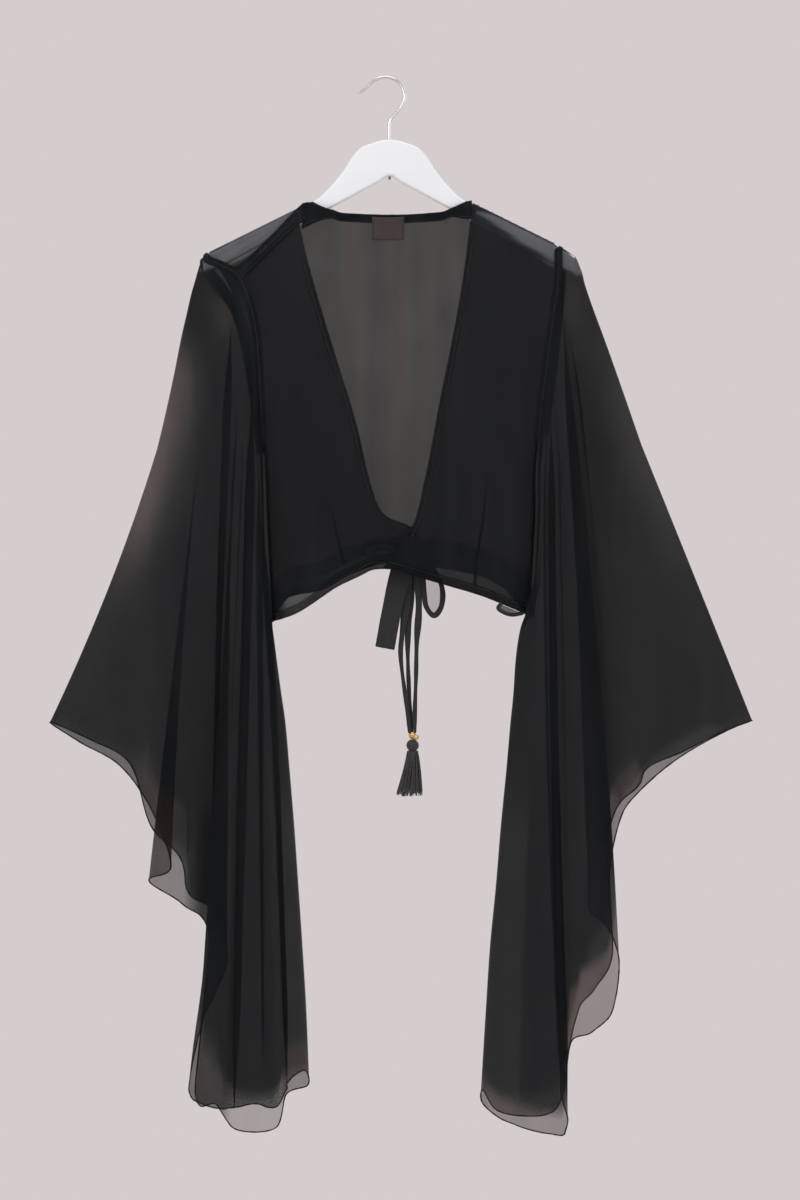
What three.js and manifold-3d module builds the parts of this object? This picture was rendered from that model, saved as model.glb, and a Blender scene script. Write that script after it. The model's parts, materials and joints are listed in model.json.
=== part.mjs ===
import * as THREE from 'three';
import { mergeVertices } from 'three/addons/utils/BufferGeometryUtils.js';
import Module from 'manifold-3d';

// A cropped chiffon wrap top with bell sleeves, hanging on a white wooden hanger.
// Millimetres, +Z up, the front of the top towards -Y.
// The origin is the inside crown of the hook, where a rail or a peg holds it.

// Driving dimensions
const hangerSpan = 438;
const hangerCentre = 6.5;
const hangerDepth = 12;
const hangerDrop = 0.496;
const hookWire = 1.8;
const screwLength = 3;
const clothWall = 1.2;
const trimWall = 0.8;
const trimLift = 0.5;
const tapeLift = 1.6;
const clothOverHanger = 7.6;
const crestLift = 2.2;
const hemBand = 10;
const frontEdgeBand = 8;
const wideTie = 22;
const narrowTie = 6;
const labelSize = { width: 38, height: 27, wall: 0.6, x: 4.7, top: -161 };
const tasselLength = 54;
const tasselHead = 15;
const tasselStrands = 60;

const frontColumns = 13;
const bodyRows = 9;
const sleeveSteps = 2;
const sleeveLevels = [0, 0.012, 0.028, 0.05, 0.09, 0.15, 0.225, 0.3, 0.42, 0.56, 0.72, 0.87, 1];

const wasm = await Module();
wasm.setup();

// Materials
function cloth(color, opacity) {
  return new THREE.MeshStandardMaterial({
    color,
    roughness: 0.85,
    metalness: 0,
    transparent: opacity < 1,
    opacity,
    side: THREE.DoubleSide,
  });
}

const chiffon = () => cloth(0x1c1c1f, 0.75);
const seamCloth = () => cloth(0x121214, 1);
const tieCloth = () => cloth(0x1a1a1c, 1);
const labelCloth = () => cloth(0x4a403e, 1);
const paintedWood = () => new THREE.MeshStandardMaterial({ color: 0xeceef0, roughness: 0.45 });
const chrome = () => new THREE.MeshStandardMaterial({ color: 0xc8c8cc, roughness: 0.15, metalness: 1 });
const goldBead = () => new THREE.MeshStandardMaterial({ color: 0xc79a3a, roughness: 0.25, metalness: 1 });

const root = new THREE.Group();

function add(name, geometry, material) {
  const mesh = new THREE.Mesh(geometry, material);
  mesh.name = name;
  root.add(mesh);
  return mesh;
}

// Numbers and tables
const mix = (a, b, t) => a + (b - a) * t;
const clamp01 = (t) => Math.min(1, Math.max(0, t));

function ease(from, to, value) {
  const t = clamp01((value - from) / (to - from));
  return t * t * (3 - 2 * t);
}

function bump(centre, width, value) {
  const d = (value - centre) / width;
  return Math.exp(-d * d);
}

// Value of one column of a table at a place between its rows, straight between rows.
function lookup(table, key, place, column) {
  const last = table.length - 1;
  if (place <= table[0][key]) {
    return table[0][column];
  }
  for (let i = 0; i < last; i += 1) {
    const a = table[i];
    const b = table[i + 1];
    if (place <= b[key]) {
      return mix(a[column], b[column], (place - a[key]) / (b[key] - a[key]));
    }
  }
  return table[last][column];
}

// A smooth curve through rows with x, z and maybe y.
function curveThrough(rows, closed = false) {
  const points = rows.map((row) => new THREE.Vector3(row.x, row.y ?? 0, row.z));
  return new THREE.CatmullRomCurve3(points, closed, 'centripetal');
}

// Smooth value of a closed table at a place counted in rows.
function cyclic(values, place) {
  const count = values.length;
  const i = Math.floor(place);
  const t = place - i;
  const at = (k) => values[((k % count) + count) % count];
  const [a, b, c, d] = [at(i - 1), at(i), at(i + 1), at(i + 2)];
  const slopeB = (c - a) / 2;
  const slopeC = (d - b) / 2;
  const t2 = t * t;
  const t3 = t2 * t;
  return (2 * t3 - 3 * t2 + 1) * b + (t3 - 2 * t2 + t) * slopeB + (3 * t2 - 2 * t3) * c + (t3 - t2) * slopeC;
}

// Solids from grids of points
function normalsOf(grid, closed) {
  const rows = grid.length;
  const columns = grid[0].length;
  return grid.map((row, j) => row.map((point, i) => {
    const left = closed ? (i + columns - 1) % columns : Math.max(0, i - 1);
    const right = closed ? (i + 1) % columns : Math.min(columns - 1, i + 1);
    const across = row[right].clone().sub(row[left]);
    const along = grid[Math.min(rows - 1, j + 1)][i].clone().sub(grid[Math.max(0, j - 1)][i]);
    return across.cross(along).normalize();
  }));
}

function solidOf(vertices, faces) {
  const triangles = [];
  let volume = 0;
  const pushTriangle = (a, b, c) => {
    triangles.push(a, b, c);
    volume += vertices[a].dot(vertices[b].clone().cross(vertices[c]));
  };
  for (const [a, b, c, d] of faces) {
    pushTriangle(a, b, c);
    pushTriangle(a, c, d);
  }
  if (volume < 0) {
    triangles.reverse();
  }
  const geometry = new THREE.BufferGeometry();
  const positions = vertices.flatMap((v) => [v.x, v.y, v.z]);
  geometry.setAttribute('position', new THREE.Float32BufferAttribute(positions, 3));
  geometry.setIndex(triangles);
  geometry.computeVertexNormals();
  return geometry;
}

// A wall of even thickness on a grid of points, its middle moved out along the normals by lift.
function wall(grid, thickness, { closed = false, lift = 0 } = {}) {
  const rows = grid.length;
  const columns = grid[0].length;
  const normals = normalsOf(grid, closed);
  const vertices = [];
  for (const side of [0.5, -0.5]) {
    grid.forEach((row, j) => row.forEach((point, i) => {
      vertices.push(point.clone().addScaledVector(normals[j][i], lift + side * thickness));
    }));
  }
  const inner = rows * columns;
  const id = (j, i) => j * columns + (i % columns);
  const faces = [];
  const spans = closed ? columns : columns - 1;
  for (let j = 0; j < rows - 1; j += 1) {
    for (let i = 0; i < spans; i += 1) {
      faces.push([id(j, i), id(j, i + 1), id(j + 1, i + 1), id(j + 1, i)]);
      faces.push([inner + id(j + 1, i), inner + id(j + 1, i + 1), inner + id(j, i + 1), inner + id(j, i)]);
    }
  }
  for (let i = 0; i < spans; i += 1) {
    const top = rows - 1;
    faces.push([id(0, i + 1), id(0, i), inner + id(0, i), inner + id(0, i + 1)]);
    faces.push([id(top, i), id(top, i + 1), inner + id(top, i + 1), inner + id(top, i)]);
  }
  if (!closed) {
    const side = columns - 1;
    for (let j = 0; j < rows - 1; j += 1) {
      faces.push([id(j, 0), id(j + 1, 0), inner + id(j + 1, 0), inner + id(j, 0)]);
      faces.push([id(j + 1, side), id(j, side), inner + id(j, side), inner + id(j + 1, side)]);
    }
  }
  return solidOf(vertices, faces);
}

// A flat band along a path in the X-Z plane, its width square to the path.
function band(rows, width, thickness, steps) {
  const curve = curveThrough(rows);
  const grid = [[], [], []];
  for (let i = 0; i <= steps; i += 1) {
    const point = curve.getPointAt(i / steps);
    const along = curve.getTangentAt(i / steps);
    const side = new THREE.Vector3(along.z, 0, -along.x).normalize();
    [-0.5, 0, 0.5].forEach((place, j) => {
      grid[j].push(point.clone().addScaledVector(side, place * width));
    });
  }
  return wall(grid, thickness);
}

// A round bar along a path.
function bar(rows, radius, sides, steps) {
  const section = new THREE.Shape();
  for (let i = 0; i < sides; i += 1) {
    const angle = (i / sides) * Math.PI * 2;
    const x = Math.cos(angle) * radius;
    const y = Math.sin(angle) * radius;
    if (i === 0) {
      section.moveTo(x, y);
    } else {
      section.lineTo(x, y);
    }
  }
  section.closePath();
  return new THREE.ExtrudeGeometry(section, { extrudePath: curveThrough(rows), steps, curveSegments: 1 });
}

// Hanger: half of the body's outline, measured from its centre
const hangerTop = [
  { out: 0, z: -71.6 },
  { out: 10, z: -72.6 },
  { out: 20, z: -75.6 },
  { out: 32, z: -81 },
  { out: 41.5, z: -91.6 },
  { out: 52, z: -108.5 },
  { out: 65, z: -124.5 },
  { out: 81, z: -139.2 },
  { out: 94.6, z: -147.3 },
];
const hangerUnder = [
  { out: 0, z: -114 },
  { out: 12, z: -118.5 },
];
const hangerUnderDrop = 0.535;

// Height of the hanger's top edge above any x outside its neck.
function hangerTopAt(x) {
  const out = Math.abs(x - hangerCentre);
  const last = hangerTop[hangerTop.length - 1];
  if (out < last.out) {
    return lookup(hangerTop, 'out', out, 'z');
  }
  return last.z - (out - last.out) * hangerDrop;
}

function buildHanger() {
  const half = hangerSpan / 2;
  const endTop = hangerTop[8].z - (half - 5 - hangerTop[8].out) * hangerDrop;
  const endUnder = hangerUnder[1].z - (half - 4 - hangerUnder[1].out) * hangerUnderDrop;
  const outline = [
    ...hangerTop,
    { out: half - 5, z: endTop },
    { out: half - 0.5, z: endTop - 6 },
    { out: half, z: (endTop + endUnder) / 2 },
    { out: half - 0.5, z: endUnder + 5 },
    { out: half - 4, z: endUnder },
    hangerUnder[1],
    hangerUnder[0],
  ];
  const mirrored = outline.slice(1, -1).reverse().map((row) => ({ out: -row.out, z: row.z }));
  const points = [...outline, ...mirrored].map((row) => new THREE.Vector2(hangerCentre + row.out, row.z));
  const bevel = 3;
  const geometry = new THREE.ExtrudeGeometry(new THREE.Shape(points), {
    depth: hangerDepth - 2 * bevel,
    bevelEnabled: true,
    bevelThickness: bevel,
    bevelSize: bevel,
    bevelOffset: -bevel,
    bevelSegments: 2,
  });
  geometry.translate(0, 0, -hangerDepth / 2 + bevel);
  geometry.rotateX(Math.PI / 2);
  add('hanger_body', geometry, paintedWood());

  const hook = [
    { x: -28.6, z: -15.6 },
    { x: -22.3, z: -11.6 },
    { x: -12.2, z: -2.3 },
    { x: -2.3, z: hookWire },
    { x: 7, z: 1.5 },
    { x: 17.6, z: -4 },
    { x: 23, z: -14.1 },
    { x: 24.1, z: -22.3 },
    { x: 18.8, z: -33.7 },
    { x: 12.4, z: -41.9 },
    { x: 7.2, z: -48.5 },
    { x: 5.6, z: -56.4 },
    { x: 5.9, z: -64 },
    { x: 6, z: -71.3 },
  ];
  add('hanger_hook', bar(hook, hookWire, 10, 40), chrome());

  const screw = new THREE.CylinderGeometry(1.5, 1.5, screwLength, 10);
  screw.rotateX(Math.PI / 2);
  screw.translate(hangerCentre, 0, hangerUnder[0].z - 0.9 - screwLength / 2);
  add('hanger_screw', screw, chrome());
}

// Torso: outlines of the flat pattern as it hangs, seen from the front
const backHem = [
  { x: -131, z: -633 },
  { x: -110, z: -607 },
  { x: -75, z: -600 },
  { x: -40, z: -581 },
  { x: 5, z: -568 },
  { x: 54, z: -572 },
  { x: 113, z: -583 },
  { x: 142, z: -598 },
  { x: 157, z: -616 },
  { x: 171, z: -628 },
];
const backNeck = [
  { x: -89, z: -146.5 },
  { x: -75, z: -153 },
  { x: -46, z: -157 },
  { x: 7, z: -159 },
  { x: 66, z: -156 },
  { x: 89, z: -151 },
  { x: 103, z: -146.5 },
];
const backLeftSide = [
  { x: -131, z: -633 },
  { x: -135, z: -565 },
  { x: -138, z: -500 },
  { x: -139, z: -464 },
  { x: -142, z: -412 },
  { x: -150, z: -353 },
  { x: -164, z: -283 },
  { x: -183, z: -242 },
  { x: -197, z: -217 },
  { x: -205, z: -205 },
];
const backRightSide = [
  { x: 171, z: -628 },
  { x: 175, z: -565 },
  { x: 178, z: -506 },
  { x: 178, z: -464 },
  { x: 183, z: -412 },
  { x: 193, z: -342 },
  { x: 200, z: -271 },
  { x: 203, z: -224 },
  { x: 203, z: -195 },
];
const frontLeft = {
  hem: [
    { x: -131, z: -636 },
    { x: -119, z: -633 },
    { x: -99, z: -625 },
    { x: -55, z: -596 },
    { x: -26, z: -582 },
    { x: -14, z: -576 },
    { x: 5, z: -575 },
    { x: 33, z: -579 },
    { x: 66, z: -588 },
  ],
  top: [
    { x: -166, z: -228.5 },
    { x: -143, z: -204.5 },
    { x: -122, z: -184 },
    { x: -100, z: -166 },
  ],
  outer: [
    { x: -131, z: -636 },
    { x: -135, z: -565 },
    { x: -138, z: -500 },
    { x: -139, z: -464 },
    { x: -143, z: -377 },
    { x: -148, z: -301 },
    { x: -156, z: -259 },
    { x: -166, z: -228.5 },
  ],
  inner: [
    { x: 66, z: -588 },
    { x: 50, z: -551 },
    { x: 33, z: -527 },
    { x: 2, z: -513 },
    { x: -11, z: -491 },
    { x: -34, z: -400 },
    { x: -63, z: -306 },
    { x: -87, z: -224 },
    { x: -100, z: -166 },
  ],
};
const frontRight = {
  hem: [
    { x: 0, z: -573 },
    { x: 19, z: -578 },
    { x: 42, z: -585 },
    { x: 66, z: -592 },
    { x: 113, z: -606 },
    { x: 136, z: -615 },
    { x: 171, z: -630 },
  ],
  outer: [
    { x: 171, z: -630 },
    { x: 175, z: -565 },
    { x: 178, z: -506 },
    { x: 178, z: -464 },
    { x: 184, z: -377 },
    { x: 196, z: -283 },
    { x: 202, z: -224 },
    { x: 203, z: -195 },
  ],
  inner: [
    { x: 0, z: -573 },
    { x: 13, z: -554 },
    { x: 34, z: -524 },
    { x: 48, z: -471 },
    { x: 66, z: -377 },
    { x: 89, z: -259 },
    { x: 100, z: -178 },
    { x: 103, z: -146.5 },
  ],
};

// Depth of the panels' side edges, from the hem (0) to the shoulder (1)
const edgeDepth = [
  { v: 0, y: 0.9 },
  { v: 0.39, y: 0.9 },
  { v: 0.46, y: 5 },
  { v: 0.62, y: 9.5 },
  { v: 0.85, y: 9.5 },
  { v: 1, y: 8 },
];
// Depth of the middle of each panel
const backDepth = [
  { v: 0, y: 13 },
  { v: 0.3, y: 17 },
  { v: 0.7, y: 15 },
  { v: 0.93, y: 9 },
  { v: 1, y: 7.6 },
];
const frontDepth = [
  { v: 0, y: 15 },
  { v: 0.3, y: 18 },
  { v: 0.7, y: 15 },
  { v: 0.93, y: 9.2 },
  { v: 1, y: 8.4 },
];

// Soft hanging folds: where across, how wide, how deep, from and to which height
const backFolds = [
  { u: 0.2, width: 0.04, depth: 2.2, from: 0.05, to: 0.8 },
  { u: 0.33, width: 0.035, depth: -2.4, from: 0.2, to: 0.95 },
  { u: 0.42, width: 0.03, depth: 2.6, from: 0.1, to: 0.95 },
  { u: 0.53, width: 0.05, depth: -2, from: 0.15, to: 0.98 },
  { u: 0.66, width: 0.04, depth: 2, from: 0.1, to: 0.9 },
  { u: 0.8, width: 0.04, depth: -2, from: 0.05, to: 0.8 },
];
const frontLeftFolds = [
  { u: 0.24, width: 0.07, depth: 2.2, from: -0.1, to: 0.7 },
  { u: 0.42, width: 0.06, depth: -2.6, from: 0, to: 0.9 },
  { u: 0.6, width: 0.07, depth: 2.4, from: -0.1, to: 0.8 },
];
const frontRightFolds = [
  { u: 0.3, width: 0.07, depth: 2, from: -0.1, to: 0.75 },
  { u: 0.55, width: 0.06, depth: -2, from: 0, to: 0.9 },
  { u: 0.76, width: 0.06, depth: 1.8, from: -0.1, to: 0.7 },
];

function foldRelief(folds, u, v) {
  let relief = 0;
  for (const fold of folds) {
    const fade = ease(fold.from, fold.from + 0.15, v) * (1 - ease(fold.to - 0.2, fold.to, v));
    relief += fold.depth * bump(fold.u, fold.width, u) * fade;
  }
  return relief;
}

// Coons patch: a point inside four boundary curves of x and z.
function patch(hem, top, left, right, u, v) {
  const corner = (p, q, r, s) => (1 - u) * (1 - v) * p + u * (1 - v) * q + (1 - u) * v * r + u * v * s;
  const h = hem(u);
  const t = top(u);
  const l = left(v);
  const r = right(v);
  const blend = (key) => mix(h[key], t[key], v) + mix(l[key], r[key], u)
    - corner(hem(0)[key], hem(1)[key], top(0)[key], top(1)[key]);
  return { x: blend('x'), z: blend('z') };
}

function sidePath(rows, end) {
  const curve = curveThrough([...rows.slice(0, -1), end]);
  return (v) => curve.getPointAt(clamp01(v));
}

function backTop(u) {
  const x = mix(-205, 203, u);
  const ridge = hangerTopAt(x) + crestLift;
  if (x < backNeck[0].x || x > backNeck[backNeck.length - 1].x) {
    return { x, z: ridge };
  }
  return { x, z: lookup(backNeck, 'x', x, 'z') };
}

const hemCurve = (rows) => {
  const curve = curveThrough(rows);
  return (u) => curve.getPointAt(clamp01(u));
};
const backHemAt = (u) => ({ x: mix(-131, 171, u), z: lookup(backHem, 'x', mix(-131, 171, u), 'z') });
const backLeftAt = sidePath(backLeftSide, backTop(0));
const backRightAt = sidePath(backRightSide, backTop(1));

function panelDepth(middle, folds, u, v, nearSide) {
  const edge = lookup(edgeDepth, 'v', v, 'y');
  const inside = ease(0, 0.2, nearSide);
  return mix(edge, lookup(middle, 'v', v, 'y'), inside) + foldRelief(folds, u, v) * inside;
}

// The back's left shoulder runs over the hanger to a seam in front; this line is that seam.
const forwardSeam = [
  { x: -205, seamX: -168, seamZ: -226.5 },
  { x: -89, seamX: -89, seamZ: -147 },
];
// Path of the cloth over the hanger, from the back to the front, measured from the ridge
const crestPath = [
  { y: 8, z: -16 },
  { y: clothOverHanger, z: -6.6 },
  { y: 6.9, z: -3.6 },
  { y: 5.6, z: -1.9 },
  { y: 2.8, z: -0.7 },
  { y: 0, z: 0 },
  { y: -2.8, z: -0.7 },
  { y: -5.6, z: -1.9 },
  { y: -6.9, z: -3.6 },
  { y: -clothOverHanger, z: -6.6 },
];
const behindNeck = 1;
const backFaceOfCrest = 3;
const onRidge = 4.85;
const pastRidge = 5;
const frontFaceOfCrest = 7;
const inFront = 9;
const atForwardSeam = 11;
// How far along that path the top edge of the back lies, from the left shoulder to the right
const topReach = [
  { x: -96, reach: atForwardSeam },
  { x: -94, reach: inFront },
  { x: -91.5, reach: frontFaceOfCrest },
  { x: -89, reach: pastRidge },
  { x: -86.5, reach: backFaceOfCrest },
  { x: -83, reach: behindNeck },
  { x: 97, reach: behindNeck },
  { x: 100.5, reach: backFaceOfCrest },
  { x: 103, reach: onRidge },
];
const backSpans = [
  { to: -110, columns: 5 },
  { to: -96, columns: 1 },
  { to: -94, columns: 1 },
  { to: -91.5, columns: 1 },
  { to: -89, columns: 1 },
  { to: -86.5, columns: 1 },
  { to: -83, columns: 1 },
  { to: 97, columns: 10 },
  { to: 100.5, columns: 1 },
  { to: 103, columns: 1 },
  { to: 203, columns: 5 },
];

// A point on the way over the hanger; past its end the way runs down to the seam.
function crestPoint(x, ridgeZ, place, seam) {
  const last = crestPath.length - 1;
  if (place <= last) {
    const i = Math.min(last - 1, Math.floor(place));
    const t = place - i;
    const y = mix(crestPath[i].y, crestPath[i + 1].y, t);
    return new THREE.Vector3(x, y, ridgeZ + mix(crestPath[i].z, crestPath[i + 1].z, t));
  }
  const t = (place - last) / (atForwardSeam - last);
  const z = ridgeZ + crestPath[last].z;
  return new THREE.Vector3(mix(x, seam.x, t), -clothOverHanger - 0.8 * t, mix(z, seam.z, t));
}

function backColumn(u) {
  const points = [];
  for (let j = 0; j < bodyRows; j += 1) {
    const v = (j / bodyRows) * 0.965;
    const flat = patch(backHemAt, backTop, backLeftAt, backRightAt, u, v);
    const y = panelDepth(backDepth, backFolds, u, v, Math.min(u, 1 - u));
    points.push(new THREE.Vector3(flat.x, y, flat.z));
  }
  const top = backTop(u);
  const reach = lookup(topReach, 'x', top.x, 'reach');
  const ridgeZ = reach > behindNeck ? hangerTopAt(top.x) + crestLift : top.z - crestPath[1].z;
  const share = clamp01((top.x - forwardSeam[0].x) / (forwardSeam[1].x - forwardSeam[0].x));
  const seam = {
    x: mix(forwardSeam[0].seamX, forwardSeam[1].seamX, share),
    z: mix(forwardSeam[0].seamZ, forwardSeam[1].seamZ, share),
  };
  for (let k = 0; k <= atForwardSeam; k += 1) {
    points.push(crestPoint(top.x, ridgeZ, (k * reach) / atForwardSeam, seam));
  }
  return points;
}

function backStations() {
  const start = backTop(0).x;
  const width = backTop(1).x - start;
  const stations = [0];
  let from = start;
  for (const span of backSpans) {
    for (let i = 1; i <= span.columns; i += 1) {
      stations.push((mix(from, span.to, i / span.columns) - start) / width);
    }
    from = span.to;
  }
  return stations;
}

const evenStations = (columns) => Array.from({ length: columns + 1 }, (_, i) => i / columns);

function gridOf(stations, columnAt) {
  const lines = stations.map(columnAt);
  return lines[0].map((_, j) => lines.map((line) => line[j]));
}

function frontPanel(panel, middle, folds, topAt, sideFirst, edgeCloth) {
  const hemAt = hemCurve(panel.hem);
  const outerAt = sidePath(panel.outer, topAt(sideFirst ? 0 : 1));
  const innerAt = sidePath(panel.inner, topAt(sideFirst ? 1 : 0));
  const leftAt = sideFirst ? outerAt : innerAt;
  const rightAt = sideFirst ? innerAt : outerAt;
  return (u, v) => {
    const flat = patch(hemAt, topAt, leftAt, rightAt, u, v);
    const side = sideFirst ? u : 1 - u;
    const y = panelDepth(middle, folds, u, v, side) + edgeCloth(side, v);
    return new THREE.Vector3(flat.x, -y, flat.z);
  };
}

const leftTopAt = (u) => {
  const x = mix(frontLeft.top[0].x, frontLeft.top[3].x, u);
  return { x, z: lookup(frontLeft.top, 'x', x, 'z') };
};
const rightTopAt = (u) => {
  const x = mix(103, 203, u);
  return { x, z: hangerTopAt(x) + crestLift };
};

// The left front passes behind the right one where they wrap.
const leftWrap = (side, v) => -5.5 * ease(0.5, 0.95, side) * (1 - ease(0.1, 0.35, v));
const rightWrap = (side, v) => 1.5 * ease(0.5, 0.9, side) * (1 - ease(0.1, 0.3, v));

const frontLeftAt = frontPanel(frontLeft, frontDepth, frontLeftFolds, leftTopAt, true, leftWrap);
const frontRightFlat = frontPanel(frontRight, frontDepth, frontRightFolds, rightTopAt, false, rightWrap);

// The right front climbs to the ridge of the shoulder.
function frontRightColumn(u) {
  const points = [];
  for (let j = 0; j < bodyRows; j += 1) {
    points.push(frontRightFlat(u, (j / bodyRows) * 0.965));
  }
  const top = rightTopAt(u);
  for (let k = 0; k <= pastRidge; k += 1) {
    const point = crestPoint(top.x, top.z, (k * onRidge) / pastRidge);
    points.push(point.setY(-point.y));
  }
  return points;
}

function frontLeftColumn(u) {
  const points = [];
  for (let j = 0; j <= bodyRows + 2; j += 1) {
    points.push(frontLeftAt(u, j / (bodyRows + 2)));
  }
  return points;
}

const backGrid = gridOf(backStations(), backColumn);
const frontLeftGrid = gridOf(evenStations(frontColumns), frontLeftColumn);
const frontRightGrid = gridOf(evenStations(frontColumns), frontRightColumn);

function buildTorso() {
  add('back', wall(backGrid, clothWall), chiffon());
  add('front_left', wall(frontLeftGrid, clothWall), chiffon());
  add('front_right', wall(frontRightGrid, clothWall), chiffon());
}

// Sleeves: the armhole ring from the shoulder down the front, under the arm and up the back,
// then one row for each fold line: where it leaves the ring, where its hem hangs, its sideways
// bow halfway down, how much of its place is a fold that opens towards the hem, and how far it
// follows the slack line along the side of the body.
const leftSleeve = {
  ring: [
    { x: -209, y: 0, z: -203.4 },
    { x: -208, y: -5.7, z: -205.4 },
    { x: -207, y: -7.9, z: -212.5 },
    { x: -187.5, y: -8.8, z: -221.5 },
    { x: -172, y: -9.5, z: -232 },
    { x: -160, y: -9.8, z: -259 },
    { x: -151, y: -10, z: -301 },
    { x: -146, y: -9.8, z: -377 },
    { x: -142.5, y: -5.5, z: -436 },
    { x: -142, y: 0, z: -466 },
    { x: -144.5, y: 5.8, z: -424 },
    { x: -153, y: 9.8, z: -359 },
    { x: -168, y: 10, z: -285 },
    { x: -188, y: 9.6, z: -248 },
    { x: -207.5, y: 8.8, z: -222 },
    { x: -208.5, y: 6.6, z: -208 },
  ],
  lines: [
    { at: 0, x: -392, y: 0, z: -755, bow: 22, tuck: 0, side: 0 },
    { at: 1, x: -344, y: -9, z: -782, bow: 8, tuck: 0, side: 0 },
    { at: 1.8, x: -298, y: -14, z: -804, bow: 0, tuck: 0, side: 0 },
    { at: 2.4, x: -272, y: -19, z: -846, bow: -8, tuck: 0, side: 0 },
    { at: 2.9, x: -249, y: -21, z: -896, bow: -6, tuck: 0, side: 0 },
    { at: 3.3, x: -226, y: -18, z: -924, bow: -3, tuck: 0, side: 0 },
    { at: 3.7, x: -200, y: -11, z: -970, bow: -2, tuck: 14, side: 0 },
    { at: 4, x: -184, y: -19, z: -1034, bow: 0, tuck: 24, side: 0 },
    { at: 4.3, x: -215, y: -29, z: -1105, bow: 0, tuck: -12, side: 0 },
    { at: 4.6, x: -232, y: -38, z: -1175, bow: 0, tuck: -34, side: 0 },
    { at: 4.9, x: -212, y: -46, z: -1203, bow: 0, tuck: -19, side: 0 },
    { at: 5.25, x: -188, y: -43, z: -1203, bow: 0, tuck: 0, side: 0 },
    { at: 5.6, x: -176, y: -30, z: -1192, bow: 0, tuck: 0, side: 0 },
    { at: 5.9, x: -169, y: -39, z: -1212, bow: 0, tuck: 0, side: 0 },
    { at: 6.3, x: -150, y: -47, z: -1239, bow: 0, tuck: 0, side: 0 },
    { at: 6.8, x: -130, y: -41, z: -1233, bow: 0, tuck: 0, side: 0.4 },
    { at: 7.3, x: -121, y: -29, z: -1206, bow: 0, tuck: 0, side: 0.7 },
    { at: 7.9, x: -111, y: -34, z: -1187, bow: 0, tuck: 0, side: 1 },
    { at: 8.6, x: -90, y: -20, z: -1178, bow: 0, tuck: 0, side: 1 },
    { at: 9.4, x: -90, y: 4, z: -1172, bow: 0, tuck: 0, side: 1 },
    { at: 10, x: -112, y: 18, z: -1180, bow: 0, tuck: 0, side: 1 },
    { at: 10.5, x: -146, y: 26, z: -1189, bow: 0, tuck: 0, side: 0.7 },
    { at: 11, x: -178, y: 24, z: -1154, bow: 0, tuck: 0, side: 0.4 },
    { at: 11.5, x: -206, y: 22, z: -1121, bow: 0, tuck: 0, side: 0 },
    { at: 12, x: -224, y: 27, z: -1064, bow: 0, tuck: 0, side: 0 },
    { at: 12.4, x: -216, y: 36, z: -1000, bow: 0, tuck: 20, side: 0 },
    { at: 12.8, x: -242, y: 42, z: -970, bow: 0, tuck: 6, side: 0 },
    { at: 13.1, x: -276, y: 34, z: -945, bow: -4, tuck: -16, side: 0 },
    { at: 13.4, x: -250, y: 21, z: -924, bow: -4, tuck: 20, side: 0 },
    { at: 13.8, x: -277, y: 13, z: -861, bow: -4, tuck: 7, side: 0 },
    { at: 14.3, x: -312, y: 10, z: -811, bow: 0, tuck: 0, side: 0 },
    { at: 15, x: -352, y: 8, z: -785, bow: 9, tuck: 0, side: 0 },
  ],
  cap: [
    { v: 0, x: 0, z: 0 },
    { v: 0.012, x: -5, z: 2 },
    { v: 0.05, x: -5, z: 1 },
    { v: 0.2, x: 0, z: 0 },
  ],
  slack: [
    { v: 0, fall: 0 },
    { v: 0.2, fall: 0.05 },
    { v: 0.37, fall: 0.34 },
    { v: 0.57, fall: 0.63 },
    { v: 0.77, fall: 0.81 },
    { v: 1, fall: 1 },
  ],
};

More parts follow.
